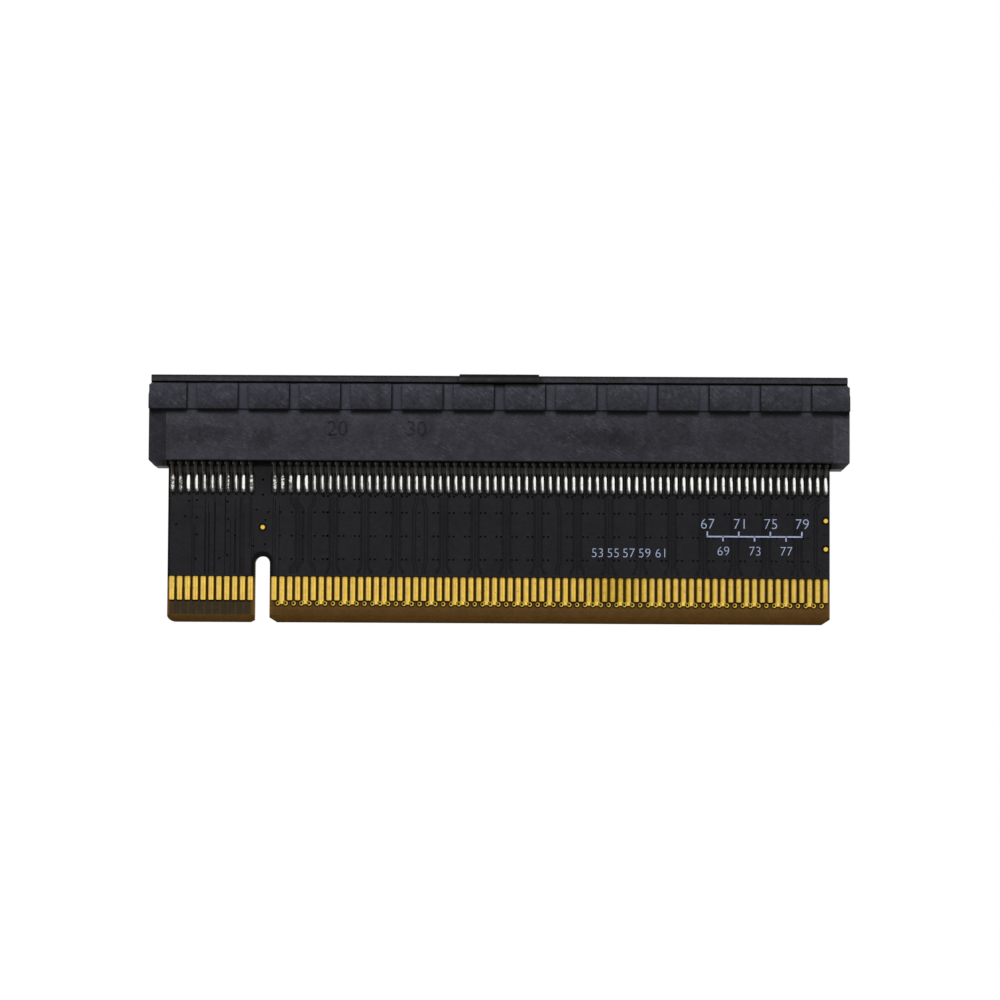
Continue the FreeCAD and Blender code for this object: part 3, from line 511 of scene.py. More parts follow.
def housing_finish():
    """Black moulded plastic: mottled wall, blocks with slanting scratches, fine grain, with painted
    light, shade and shadows.
    """
    sizes = settings().housing
    made = Finish("Housing Plastic", **{"IOR": 1.5, "Specular IOR Level": 0.1})
    tree = made.tree
    depth = unsigned(tree, made.y)
    end = unsigned(tree, made.x)
    in_band = made.band(made.z, BAND_LOW - 0.01, BAND_TOP + 0.07, 0.03)
    on_block = times(tree, in_band, between(tree, depth, BLOCK_FACE - 0.17, BLOCK_FACE - 0.12))
    on_strip = times(tree, in_band, made.band(depth, STRIP_FACE - 0.06, STRIP_FACE + 0.03, 0.02))
    on_rim = between(tree, made.z, RIM_LOW - 0.05, RIM_LOW + 0.01)
    on_ear = between(tree, made.z, WALL_LOW + 0.03, WALL_LOW - 0.03)
    on_wall = between(tree, made.z, BAND_LOW + 0.01, BAND_LOW - 0.03)
    on_panel = times(tree, between(tree, end, PANEL_START - 0.02, PANEL_START + 0.02), on_wall)
    numeral = times(tree, made.band(depth, WALL_FACE + 0.02, WALL_FACE + 0.07, 0.005),
                    between(tree, made.z, BAND_LOW - 0.25, BAND_LOW - 0.35))
    middle = between(tree, end, RAISED_END + 0.1, RAISED_END - 0.05)
    raised = times(tree, middle, between(tree, depth, RAISED_FACE - 0.15, RAISED_FACE - 0.07))
    rim_face = made.mixed(middle, between(tree, depth, RIM_FACE - 0.12, RIM_FACE - 0.05), raised)

    patches = made.clouds(3.4, 2.6)
    fine = made.clouds(0.5, 2.6)
    leather = noise(tree, made.place, 4.2, 2.0, 0.6)
    mottle = times(tree, between(tree, patches, 0.0, 1.0, 0.6, 1.4),
                   between(tree, fine, 0.0, 1.0, made.mixed(on_block, 0.74, 0.5),
                           made.mixed(on_block, 1.26, 1.5)),
                   between(tree, leather, 0.3, 0.7, 0.84, 1.16))
    oily = 0.0
    for across, up, narrow in OILY_PATCHES:
        reach = made.distance(times(tree, made.x, narrow), made.z, across * narrow, up)
        ragged = plus(tree, reach, between(tree, fine, 0.0, 1.0, -0.6, 0.6))
        oily = highest(tree, oily, between(tree, ragged, 1.5, 0.7))

    # painted light and shade: the wall is lighter along its upper and lower edges and towards its first
    # contact, and darker towards its other end
    upper = between(tree, made.z, BAND_LOW - 3.25, BAND_LOW - 0.65, 0.82, 1.05)
    lower = between(tree, made.z, WALL_LOW + 2.01, WALL_LOW + 0.31, 0.0, 0.14)
    wall = times(tree, plus(tree, upper, lower), between(tree, made.x, -40.0, -5.0, 1.2, 1.04),
                 between(tree, made.x, -5.0, 40.0, 0.97, 0.83))
    # painted light: the blocks and strips are lighter towards their tops
    block_painted_light = between(tree, made.z, BAND_LOW + 0.05, BAND_TOP - 0.13, 0.46, 1.22)
    strip_painted_light = between(tree, made.z, BAND_LOW + 0.35, BAND_TOP - 0.53, 1.12, 1.4)
    level = made.mixed(on_strip, made.mixed(on_block, wall, block_painted_light), strip_painted_light)
    # painted light and shade on the rim: dark along its top edge, lighter lower down
    rim_painted_light = between(tree, made.z, RIM_TOP - 0.17, RIM_TOP - 0.25, 0.1,
                        between(tree, made.z, RIM_TOP - 0.25, RIM_TOP - 0.53, 0.72, 1.05))
    level = made.mixed(on_rim, level, made.mixed(rim_face, 0.85, rim_painted_light))
    # painted reflection: the left end panel dark, the right one lighter towards its top
    panel_painted_light = made.mixed(between(tree, made.x, -1.0, 1.0), 0.47,
                       between(tree, made.z, WALL_LOW + 1.61, BAND_LOW - 0.25, 1.25, 1.6))
    level = made.mixed(on_panel, level, panel_painted_light)
    # painted reflection on the ears' slopes: lighter towards their outer ends and lower edges
    ear_painted_light = times(tree, between(tree, end, PANEL_START + 0.44, PANEL_START + 1.74, 0.05, 4.5),
                      between(tree, made.z, WALL_LOW - 0.09, WALL_LOW - 0.59, 0.7, 1.2))
    level = made.mixed(on_ear, level, ear_painted_light)
    # painted shade: the moulded numerals are darker than the wall
    level = made.mixed(numeral, level, 0.45)
    level = times(tree, level, made.mixed(oily, 1.0, 0.66))
    calm = made.mixed(on_strip, mottle, between(tree, fine, 0.1, 0.9, 0.88, 1.12))
    # the mottle, and painted shade that darkens towards the end at +x
    level = times(tree, level, calm, between(tree, made.x, 0.0, 42.0, 1.0, 0.9))

    # painted shadow in the groove, under the band and beside the blocks: short under the strips, longer
    # under the blocks and longest towards the end at +x
    off_strip = made.repeat(made.x, FIRST_STRIP, sizes.block_step / MM)
    beside = unsigned(tree, off_strip)
    shadow_end = between(tree, made.x, -35.0, 30.0, BAND_LOW - 0.7, BAND_LOW - 0.95)
    under = made.mixed(between(tree, beside, 0.6, 0.78),
                       between(tree, made.z, BAND_LOW - 0.01, BAND_LOW - 0.25, 0.35, 1.0),
                       between(tree, made.z, BAND_LOW - 0.25, shadow_end, 0.0, 1.0))
    level = times(tree, level, made.mixed(on_wall, 1.0, under))
    groove_shade = made.band(made.z, BAND_TOP - 0.09, RIM_LOW + 0.09, 0.05)
    level = times(tree, level, made.mixed(groove_shade, 1.0, 0.25))
    # painted shadow along one edge of each strip, beside a block, on the side away from x = 15 mm
    side = times(tree, off_strip, between(tree, made.x, 13.0, 17.0, -1.0, 1.0))
    block_side_shadow = times(tree, on_strip, between(tree, side, 0.34, 0.58))
    # painted shadow below the rim's raised part; the raised part itself is darker
    raised_rim_shadow = times(tree, between(tree, end, RAISED_END + 0.25, RAISED_END - 0.25),
                         made.band(made.z, BAND_TOP - 0.15, RIM_LOW - 0.03, 0.4))
    level = times(tree, level, made.mixed(block_side_shadow, 1.0, 0.15), made.mixed(raised_rim_shadow, 1.0, 0.05),
                  made.mixed(times(tree, raised, on_rim), 1.0, 0.62))

    slanting = made.streaks(-0.68, 0.11, 2.0)
    short = made.streaks(-0.5, 0.08, 0.8)
    clusters = between(tree, made.clouds(1.5, 2.4), 0.42, 0.8)
    lines = calc(tree, "ADD",
                 times(tree, slanting, on_block, between(tree, clusters, 0.0, 1.0, 0.3, 1.25)),
                 times(tree, short, between(tree, clusters, 0.0, 1.0, 0.2, 1.1)), clamp=True)
    clear = between(tree, level, 0.2, 0.7)
    lines = times(tree, lines, clear)
    band_plastic, rim_plastic = [[c * t for c, t in zip(sizes.plastic, tint)]
                                 for tint in (sizes.block_tint, sizes.rim_tint)]
    tint = mix_colours(tree, in_band, sizes.plastic, band_plastic)
    tint = mix_colours(tree, on_rim, tint, rim_plastic)
    tone = mix_colours(tree, lines, made.scaled(tint, level), sizes.scratch, "ADD")
    made.feed("Base Color", tone)
    made.feed("Roughness", between(tree, lines, 0.0, 1.0, 0.56, 0.44))
    grain = made.grain(0.1)
    height = plus(tree, times(tree, grain, 0.6), times(tree, lines, 0.3))
    made.bump(height, 0.012, 0.6)
    return made.material


def mask_finish():
    """Black solder mask: satin over copper, lower and darker beside the traces, with painted light near
    the lands and painted shade round the joints, tails, board ends and test pads.
    """
    colours = settings().board
    made = Finish("Solder Mask", **{"Specular IOR Level": 0.06, "Coat Roughness": 0.3})
    tree = made.tree
    depth = unsigned(tree, made.y)
    raised = between(tree, depth, 0.750, 0.768)
    clouds = made.clouds(5.0, 1.8)
    fine = made.clouds(0.45, 2.2)
    from_notch = made.distance(made.x, highest(tree, made.z, NOTCH_ROUND), KEY_X, NOTCH_ROUND)
    clear = between(tree, from_notch, 1.28, 1.52, 0.06, 1.0)
    lift = times(tree, between(tree, clouds, 0.1, 0.9, 0.78, 1.22),
                 between(tree, fine, 0.1, 0.9, 0.82, 1.18))
    # painted light: a little lighter towards the short tab and just below the lands
    lift = times(tree, lift, between(tree, made.x, -40.0, 30.0, 1.08, 1.0), clear,
                 between(tree, made.z, LAND_LOW - 3.0, LAND_LOW - 0.4, 1.0, 1.28))
    # painted light and shade between the joints and tails: pale near the lands, black against the
    # housing and beside the joints, dark under the joints' feet, at the board's ends and round the test
    # pads
    offset = made.contact_offset()
    joined = between(tree, unsigned(tree, minus(tree, made.x, KEY_X)), 0.9, 1.05)
    pale = times(tree, made.band(made.z, LAND_TOP - 0.15, LAND_TOP + 0.6, 0.25), joined,
                 between(tree, made.x, -31.0, 0.0, 0.25, 1.0))
    black = between(tree, made.z, LAND_TOP + 0.7, LAND_TOP + 0.9)
    beside = times(tree, made.band(made.z, LAND_LOW - 0.1, LAND_TOP - 0.1, 0.1),
                   between(tree, offset, -0.36, -0.44), joined)
    foot = times(tree, made.band(made.z, LAND_LOW - 0.26, LAND_LOW - 0.02, 0.05),
                 made.band(offset, -0.08, 0.28, 0.06), joined)
    edge = between(tree, made.x, 0.35 - BOARD_END, 0.2 - BOARD_END)
    dark = highest(tree, black, foot, beside, edge, made.near_pads(0.46, 0.62))
    lift = times(tree, lift, made.mixed(pale, 1.0, 1.9), made.mixed(dark, 1.0, 0.12))
    tone = mix_colours(tree, raised, colours.mask_low, colours.mask)
    made.feed("Base Color", made.scaled(tone, lift))
    made.feed("Coat Weight", times(tree, made.mixed(raised, 0.14, 0.22), lift))
    made.feed("Roughness", between(tree, fine, 0.2, 0.8, 0.34, 0.5))
    grain = made.grain(0.14)
    made.bump(grain, 0.006, 0.5)
    return made.material


def gold_finish():
    """Gold plate with small specks, and painted reflection and shade: a pinkish side, a fine darker line
    near the middle, darker edges, flanks and heads.
    """
    made = Finish("Gold Plate", **{"Metallic": 1.0})
    tree = made.tree
    metals = settings().metal
    offset = made.contact_offset()
    # the painted reflection and shade swap sides between x = 8 and 22 mm
    turned = times(tree, offset, between(tree, made.x, 8.0, 22.0, 1.0, -1.0))
    on_finger = made.band(made.z, FINGER_LOW - 0.05, FINGER_TOP + 0.12, 0.03)
    streaks = made.streaks(math.pi / 2, 0.07, 1.4)
    clouds = made.clouds(0.7, 2.0)
    specks = use(tree, "Specks", Place=made.place, Spacing=0.38, Radius=0.085, Share=0.42)
    waist = made.band(made.z, FINGER_LOW + 1.2, FINGER_LOW + 2.1, 0.4)
    marks = times(tree, specks, made.mixed(waist, 0.3, 0.95))
    # painted reflection: a pinkish band on one side of each finger, and a darker fine line near its
    # middle
    rosy_reflection = times(tree, made.band(turned, -0.27, -0.1, 0.07), on_finger, 0.85)
    tone = mix_colours(tree, rosy_reflection, metals.gold, metals.rose)
    centre_line = times(tree, made.band(turned, -0.01, 0.05, 0.05), on_finger,
                 between(tree, streaks, 0.0, 0.5, 0.6, 1.0))
    # painted shade: darker edges, flanks and heads of the fingers
    edge = between(tree, unsigned(tree, offset), 0.24, 0.34)
    flank = times(tree, between(tree, offset, -0.08, -0.22),
                  between(tree, made.x, -36.0, 10.0, 0.12, 0.62))
    far_flank_shade = times(tree, between(tree, offset, 0.06, 0.2),
                      between(tree, made.x, 0.0, 30.0, 0.0, 0.4))
    head_shade = times(tree, between(tree, made.z, FINGER_TOP - 0.28, FINGER_TOP - 0.02),
                 between(tree, unsigned(tree, offset), 0.1, 0.3,
                         between(tree, made.x, -30.0, 5.0, 0.2, 0.45),
                         between(tree, made.x, -30.0, 5.0, 0.5, 1.0)))
    on_face = made.mixed(on_finger, 1.0, times(tree,
        made.mixed(centre_line, 1.0, 0.6), made.mixed(edge, 1.0, 0.34), made.mixed(flank, 1.0, 0.2),
        made.mixed(far_flank_shade, 1.0, 0.3), made.mixed(head_shade, 1.0, 0.12)))
    level = times(tree, between(tree, clouds, 0.1, 0.9, 0.7, 1.02), on_face,
                  made.mixed(marks, 1.0, 0.2))
    # painted light and shade on the rings round the plated holes: bright on one side, dull on the other,
    # darker towards the outer edge
    ring_x = made.repeat(made.x, 0.0, 1.0)
    ring_z = minus(tree, made.z, VIA_ROW)
    slope = minus(tree, ring_x, times(tree, ring_z, 0.6))
    outside = between(tree, made.distance(ring_x, ring_z, 0.0, 0.0), 0.29, 0.24, 0.25, 1.0)
    ring = times(tree, between(tree, made.z, VIA_ROW + 0.32, VIA_ROW + 0.26),
                 between(tree, unsigned(tree, ring_x), 0.34, 0.3))
    level = made.mixed(ring, level, times(tree, outside,
                                          between(tree, slope, -0.12, 0.12, 0.3, 0.72)))
    # round test pads: a bright middle in a dark rim of painted shade
    pad = made.mixed(made.above_fingers(), 1.0,
                     between(tree, made.near_pads(0.2, 0.32), 0.0, 1.0, 0.03, 0.95))
    level = times(tree, level, pad)
    made.feed("Base Color", made.scaled(tone, level))
    made.feed("Roughness", between(tree, streaks, 0.0, 1.0, 0.36, 0.24))
    made.bump(streaks, 0.004, 0.6)
    return made.material


def laminate_finish():
    """Glass-epoxy: darker between the fingers, painted shadow under the fingers and round the copper
    rings, ground bevel below.
    """
    colours = settings().board
    made = Finish("Laminate", **{"Specular IOR Level": 0.04})
    tree = made.tree
    threads = put(tree, "ShaderNodeTexWave", {"Vector": made.place, "Scale": 0.5, "Distortion": 1.2,
                                              "Detail": 2.0}, bands_direction="Z").outputs[1]
    clouds = made.clouds(1.2, 2.0)
    fine = made.clouds(0.25, 2.2)
    offset = unsigned(tree, made.contact_offset())
    long_side = between(tree, made.x, KEY_X - 0.2, KEY_X + 0.2)
    in_gaps = between(tree, made.z, FINGER_LOW - 0.06, FINGER_LOW + 0.04)
    on_bevel = between(tree, made.z, BEVEL_TOP + 0.03, BEVEL_TOP - 0.04)
    tab = mix_colours(tree, long_side, colours.short_tab, colours.long_tab)
    low = made.scaled(tab, made.mixed(long_side, 1.0,
                                      between(tree, made.z, BEVEL_TOP, VIA_ROW - 0.1, 0.72, 1.1)))
    tone = mix_colours(tree, in_gaps, low, colours.gap)
    ground = made.scaled(colours.bevel, between(tree, made.z, 0.2, 0.85, 0.82, 1.14))
    ground = mix_colours(tree, between(tree, made.z, 0.14, 0.06), ground, colours.lip)
    tone = mix_colours(tree, on_bevel, tone, ground)
    # thin light lines up the short tab and along its bevel; painted shadow under the fingers and round
    # the rings, and painted shade along the rings' row
    short_side = minus(tree, 1.0, long_side)
    upright = times(tree, made.band(made.contact_offset(), 0.1, 0.2, 0.1), short_side,
                    made.band(made.z, BEVEL_TOP + 0.05, FINGER_LOW - 0.3, 0.15))
    level_line = times(tree, short_side,
                       made.band(made.z, BEVEL_TOP - 0.04, BEVEL_TOP + 0.05, 0.03))
    line = highest(tree, upright, level_line)
    under = times(tree, made.band(made.z, FINGER_LOW - 0.2, FINGER_LOW + 0.05, 0.06),
                  between(tree, offset, 0.42, 0.36))
    from_ring = made.distance(offset, made.z, 0.5, VIA_ROW)
    rim = times(tree, between(tree, from_ring, 0.48, 0.4),
                made.band(made.x, KEY_X + 1.5, BOARD_END - 0.55, 0.02))
    foot = times(tree, made.band(made.z, VIA_ROW - 0.28, VIA_ROW + 0.2, 0.06), long_side)
    dark = highest(tree, under, rim, times(tree, foot, 0.4))
    level = times(tree, between(tree, clouds, 0.1, 0.9, 0.8, 1.2),
                  between(tree, fine, 0.1, 0.9, 0.86, 1.14),
                  made.mixed(line, 1.0, 1.35), made.mixed(dark, 1.0, 0.14))
    # above the fingers: black where the mask ends, bare glass-epoxy on the sawn ends
    upper = made.above_fingers()
    sawn = times(tree, between(tree, unsigned(tree, made.x), BOARD_END - 0.15, BOARD_END - 0.05),
                 between(tree, unsigned(tree, made.y), 0.72, 0.68))
    level = times(tree, level, made.mixed(upper, 1.0, made.mixed(sawn, 0.1, 0.8)))
    tone = mix_colours(tree, times(tree, upper, sawn), tone, colours.short_tab)
    # the sawn edges glow a little
    from_key = unsigned(tree, minus(tree, made.x, KEY_X))
    from_edge = calc(tree, "MINIMUM", minus(tree, BOARD_END, unsigned(tree, made.x)),
                     minus(tree, from_key, 1.0))
    glow = times(tree, between(tree, from_edge, 0.5, 0.1),
                 between(tree, made.z, FINGER_TOP + 0.12, FINGER_TOP - 1.28))
    tone = mix_colours(tree, glow, made.scaled(tone, level), made.scaled(colours.bevel, 0.85))
    made.feed("Base Color", tone)
    made.feed("Roughness", between(tree, clouds, 0.2, 0.8, 0.5, 0.68))
    made.bump(threads, 0.006, 0.5)
    return made.material


def contact_finish():
    """Spring contact: dull tail with painted light on one edge and painted shade on the other, plated
    spring inside the slot.
    """
    metals = settings().metal
    made = Finish("Contact Alloy", **{"Metallic": 1.0})
    tree = made.tree
    clouds = made.clouds(0.5, 2.4)
    offset = made.contact_offset()
    # painted light and shade: one edge of each tail lit, the other shaded, swapping sides between x = 8
    # and 22 mm; the tails lighter towards the lands
    turned = times(tree, offset, between(tree, made.x, 8.0, 22.0, 1.0, -1.0))
    lit_edge = between(tree, turned, -0.1, -0.16)
    dark_edge = between(tree, turned, 0.08, 0.16)
    level = times(tree, between(tree, clouds, 0.1, 0.9, 0.7, 1.9),
                  between(tree, made.z, LAND_TOP + 0.9, LAND_TOP - 0.1, 0.8, 1.9),
                  made.mixed(lit_edge, 1.0, 2.2), made.mixed(dark_edge, 1.0, 0.35))
    # shoulders a little lighter; painted shadow on the tails just under the housing's wall
    wing = between(tree, unsigned(tree, offset), 0.22, 0.26)
    shoulder = times(tree, made.band(made.z, WALL_LOW - 0.49, WALL_LOW - 0.14, 0.04), wing)
    level = times(tree, level, made.mixed(shoulder, 1.0, 1.1),
                  between(tree, made.z, WALL_LOW - 0.05, WALL_LOW - 0.17, 0.15, 1.0))
    burnt = times(tree, between(tree, made.x, KEY_X - 1.0, KEY_X - 5.0),
                  made.band(made.z, LAND_TOP - 0.2, LAND_TOP + 0.6, 0.3), clouds)
    alloy = mix_colours(tree, burnt, metals.alloy, metals.burnt)
    dull = made.scaled(alloy, level)
    inside = between(tree, made.z, 22.2, 23.2)
    plated = made.scaled(metals.spring, between(tree, clouds, 0.1, 0.9, 0.7, 1.1))
    made.feed("Base Color", mix_colours(tree, inside, dull, plated))
    made.feed("Roughness", between(tree, clouds, 0.2, 0.8, 0.5, 0.36))
    grain = made.grain(0.08)
    made.bump(grain, 0.006, 0.6)
    return made.material


def clouded_finish(name, size, contrast, dark, pale, rough, bump, grain=None, fade=None, **plain):
    """A plain finish between two colours: patches, roughness in dark and pale parts, fine bumps."""
    made = Finish(name, **plain)
    tree = made.tree
    clouds = made.clouds(size, contrast)
    tone = mix_colours(tree, clouds, dark, pale)
    if fade:
        tone = made.scaled(tone, between(tree, made.x, *fade))
    made.feed("Base Color", tone)
    made.feed("Roughness", between(tree, clouds, 0.2, 0.8, *rough))
    made.bump(made.grain(grain) if grain else clouds, bump, 0.5)
    return made.material


def land_finish():
    """Tinned copper, painted dark as the shade round the solder joints."""
    tin = settings().metal.tin
    return clouded_finish("Tinned Copper", 0.4, 2.0, [c * 0.4 for c in tin], tin, (0.55, 0.4), 0.008,
                          grain=0.12, **{"Metallic": 1.0})


def ink_finish():
    """Printed ink, slightly worn."""
    ink = settings().board.ink
    return clouded_finish("Legend Ink", 0.5, 1.8, [c * 0.65 for c in ink], ink, (0.7, 0.55), 0.004,
                          grain=0.1, **{"Specular IOR Level": 0.2})


def dot_finish():
    """Resin-filled via under the mask: dark and smooth."""
    board = settings().board
    return clouded_finish("Filled Via", 0.3, 1.5, board.via_dark, board.via_pale, (0.5, 0.7), 0.004,
                          **{"Specular IOR Level": 0.03})


def line_finish():
    """Solder mask that dips beside a trace, painted dark as the shade in the dip, and a little paler
    away from the short tab.
    """
    board = settings().board
    return clouded_finish("Trace Line Shade", 0.8, 2.2, board.line_dark, board.line_pale, (0.5, 0.7), 0.004,
                          fade=(-33.0, 10.0, 1.0, 1.4), **{"Specular IOR Level": 0.03})


# first and last place along the row of each run of pitted joints
PITTED_JOINTS = ((-41.5, -40.5), (-34.5, -34.5), (-31.5, -26.5))


def solder_finish():
    """Solder: painted highlight along a bright band, painted shade where it slopes to the board, with
    dark flecks.
    """
    made = Finish("Solder", **{"Metallic": 1.0})
    tree = made.tree
    solder = settings().metal.solder
    highlight = put(tree, "ShaderNodeAttribute", attribute_name="highlight").outputs["Fac"]
    clouds = made.clouds(0.3, 2.6)
    fine = made.clouds(0.1, 2.6)
    # the joints beside both ends of the short tab are pitted
    rough_part = 0.0
    for first, last in PITTED_JOINTS:
        rough_part = highest(tree, rough_part, made.band(made.x, first - 0.4, last + 0.4, 0.05))
    spread = between(tree, rough_part, 0.0, 1.0, 0.18, 0.9)
    shift = times(tree, minus(tree, fine, 0.5), spread)
    flecks = between(tree, noise(tree, made.place, 3.4, 1.0, 0.5), 0.49, 0.54)
    uneven = plus(tree, times(tree, highlight, made.mixed(rough_part, 1.0, 0.7)), shift)
    smooth = between(tree, uneven, 0.42, 0.78)
    speckled = times(tree, between(tree, uneven, 0.5, 0.64), minus(tree, 1.0, flecks))
    bright = made.mixed(rough_part, smooth, times(tree, speckled, speckled))
    pits = between(tree, clouds, 0.1, 0.3)
    warm = mix_colours(tree, clouds, solder, [solder[0], solder[1] * 0.98, solder[2] * 0.93])
    lit = made.scaled(warm, made.mixed(pits, 0.35, 1.0))
    # painted shade: the slopes fall off to near black
    slope = times(tree, between(tree, uneven, 0.0, 0.5, 0.006, 0.2),
                  between(tree, clouds, 0.2, 0.8, 0.5, 1.4))
    fallen = made.scaled(solder, slope)
    made.feed("Base Color", mix_colours(tree, bright, fallen, lit))
    made.feed("Roughness", between(tree, bright, 0.0, 1.0, 0.42, 0.2))
    made.bump(fine, 0.008, 0.4)
    return made.material


def finish(name):
    """A finish by its name, made once."""
    names = {
        "Housing Plastic": housing_finish,
        "Solder Mask": mask_finish,
        "Gold Plate": gold_finish,
        "Laminate": laminate_finish,
        "Contact Alloy": contact_finish,
        "Legend Ink": ink_finish,
        "Filled Via": dot_finish,
        "Trace Line Shade": line_finish,
        "Tinned Copper": land_finish,
        "Solder": solder_finish,
    }
    return bpy.data.materials.get(name) or names[name]()


# ---------------------------------------------------------------- piece helpers
DIGIT_HEIGHT = 0.72             # height of a digit as a share of the lettering's size


def paint(node_name, material_name):
    """Gives a CAD node its finish."""
    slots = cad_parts[node_name].material_slots
    for slot in slots:
        slot.material = finish(material_name)


def make_piece(name, mesh, material_names, slot_name, *replaced):
    """A finished piece: in the scene, on the fixed body, with its finishes, and the CAD nodes it stands
    for hidden; its slot name is not used.
    """
    piece = bpy.data.objects.new(name, mesh)
    bpy.context.scene.collection.objects.link(piece)
    if material_names:
        mesh.materials.clear()
        for material_name in material_names:
            mesh.materials.append(finish(material_name))
    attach(piece, "root")
    if replaced:
        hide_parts(*replaced)
    return piece


def merged_copy(node_name):
    """A CAD node's mesh with its loose triangles joined up."""
    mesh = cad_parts[node_name].data.copy()
    work = bmesh.new()
    work.from_mesh(mesh)
    bmesh.ops.remove_doubles(work, verts=work.verts, dist=0.0005 * MM)
    bmesh.ops.dissolve_limit(work, angle_limit=math.radians(0.5), verts=work.verts,
                             edges=work.edges)
    work.to_mesh(mesh)
    work.free()
    return mesh


def evaluated_mesh(holder):
    """A plain mesh of an object as its modifiers or its lettering make it."""
    bpy.context.view_layer.update()
    graph = bpy.context.evaluated_depsgraph_get()
    return bpy.data.meshes.new_from_object(holder.evaluated_get(graph))


def text_mesh(words, height, thickness, thinner=0.0):
    """Upright lettering in the XZ plane, facing -Y, its lower left corner at the origin."""
    curve = bpy.data.curves.new("Lettering", "FONT")
    curve.body = words
    curve.size = height / DIGIT_HEIGHT
    curve.extrude = thickness / 2
    curve.offset = -thinner
    curve.resolution_u = 4
    holder = bpy.data.objects.new("Lettering", curve)
    bpy.context.scene.collection.objects.link(holder)
    mesh = evaluated_mesh(holder)
    bpy.data.objects.remove(holder)
    bpy.data.curves.remove(curve)
    mesh.transform(Matrix.Rotation(math.pi / 2, 4, "X"))
    return mesh


def join_meshes(name, parts):
    """One mesh from several, each with the place it is moved to."""
    work = bmesh.new()
    for mesh, place in parts:
        mesh.transform(Matrix.Translation(place))
        work.from_mesh(mesh)
    joined = bpy.data.meshes.new(name)
    work.to_mesh(joined)
    work.free()
    return joined


def grow(name, tree, base, values):
    """Runs a geometry tree on a base mesh with named values and returns the plain mesh."""
    holder = bpy.data.objects.new(name, base)
    bpy.context.scene.collection.objects.link(holder)
    modifier = holder.modifiers.new(name, "NODES")
    modifier.node_group = tree
    for item in tree.interface.items_tree:
        if item.item_type == "SOCKET" and item.in_out == "INPUT" and item.name in values:
            modifier[item.identifier] = values[item.name]
    mesh = evaluated_mesh(holder)
    holder.modifiers.clear()
    bpy.data.objects.remove(holder)
    mesh.name = name
    return mesh


def geometry_tree(name, inputs):
    """New geometry tree with named inputs; returns tree, inputs and the result socket."""
    tree, given, result = make_group(name, [("Geometry", GEOMETRY, None)] + inputs,
                                     [("Geometry", GEOMETRY)], "GeometryNodeTree")
    return tree, given, result[0]


def coated(tree, shape, material):
    """Makes instances real and sets the material, the end of each tree."""
    loose = put(tree, "GeometryNodeRealizeInstances", {"Geometry": shape})
    return put(tree, "GeometryNodeSetMaterial", {
        "Geometry": loose.outputs[0], "Material": material}).outputs[0]


def spread(tree, given, shape, material):
    """A shape at each of the given points, made real and with its material."""
    spots = put(tree, "GeometryNodeInstanceOnPoints", {"Points": given["Geometry"], "Instance": shape})
    return coated(tree, spots.outputs[0], material)


def points_mesh(name, points):
    """A mesh of loose points."""
    mesh = bpy.data.meshes.new(name)
    mesh.from_pydata(points, [], [])
    return mesh


# ---------------------------------------------------------------- operators
# edges inside the housing stay sharp: within this of the middle plane, but for the ends' reach
SHARP_DEPTH = 3.0
END_REACH = 2.0


class RISERCARD_OT_housing(bpy.types.Operator):
    """Make the slot housing with rounded outer edges"""

    bl_idname = "riser_card.make_housing"
    bl_label = "Slot Housing"

    def execute(self, context):
        sizes = settings().housing
        mesh = merged_copy("connector_housing")
        piece = make_piece("slot_housing", mesh, ["Housing Plastic"], "housing_plastic",
                           "connector_housing")
        work = bmesh.new()
        work.from_mesh(mesh)
        layer = work.edges.layers.float.new("bevel_weight_edge")
        far_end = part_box("connector_housing")[1].x
        for edge in work.edges:
            if len(edge.link_faces) != 2 or edge.calc_face_angle() < math.radians(25):
                continue
            if all(abs(vertex.co.y) > SHARP_DEPTH * MM or abs(vertex.co.x) > far_end - END_REACH * MM
                   for vertex in edge.verts):
                edge[layer] = 1.0
        work.to_mesh(mesh)
        work.free()
        bevel = piece.modifiers.new("Rounded Edges", "BEVEL")
        bevel.limit_method = "WEIGHT"
        bevel.width = sizes.edge_round
        bevel.segments = 2
        bevel.use_clamp_overlap = True
        rounded = evaluated_mesh(piece)
        piece.modifiers.clear()
        piece.data = rounded
        return {"FINISHED"}


MOULDED_NUMBERS = (20, 30)      # contacts numbered on the lower wall


class RISERCARD_OT_numerals(bpy.types.Operator):
    """Make the plain moulded numerals on the housing's lower wall"""

    bl_idname = "riser_card.make_numerals"
    bl_label = "Moulded Numerals"

    def execute(self, context):
        sizes = settings().housing
        parts = []
        for number in MOULDED_NUMBERS:
            mesh = text_mesh(str(number), sizes.numeral_height, 2 * sizes.numeral_rise, 0.05 * MM)
            width = max(v.co.x for v in mesh.vertices)
            parts.append((mesh, (contact_x(number) - width / 2, -WALL_FACE * MM, sizes.numeral_base)))
        make_piece("housing_numerals", join_meshes("housing_numerals", parts),
                   ["Housing Plastic"], "housing_plastic")
        return {"FINISHED"}


class RISERCARD_OT_board(bpy.types.Operator):
    """Finish the laminate, solder mask, fingers, vias and pads"""

    bl_idname = "riser_card.finish_board"
    bl_label = "Board Finishes"

    def execute(self, context):
        paint("board_laminate", "Laminate")
        paint("edge_vias", "Gold Plate")
        paint("test_pads_front", "Gold Plate")
        for side in FACES:
            paint(f"solder_mask_{side}", "Solder Mask")
            paint(f"solder_lands_{side}", "Tinned Copper")
            for group in GROUPS:
                paint(f"fingers_{side}_{group}", "Gold Plate")
        return {"FINISHED"}


class RISERCARD_OT_contacts(bpy.types.Operator):
    """Finish the spring contacts"""

    bl_idname = "riser_card.finish_contacts"
    bl_label = "Spring Contacts"

    def execute(self, context):
        for side in FACES:
            for group in GROUPS:
                paint(f"contacts_{side}_{group}", "Contact Alloy")
        return {"FINISHED"}


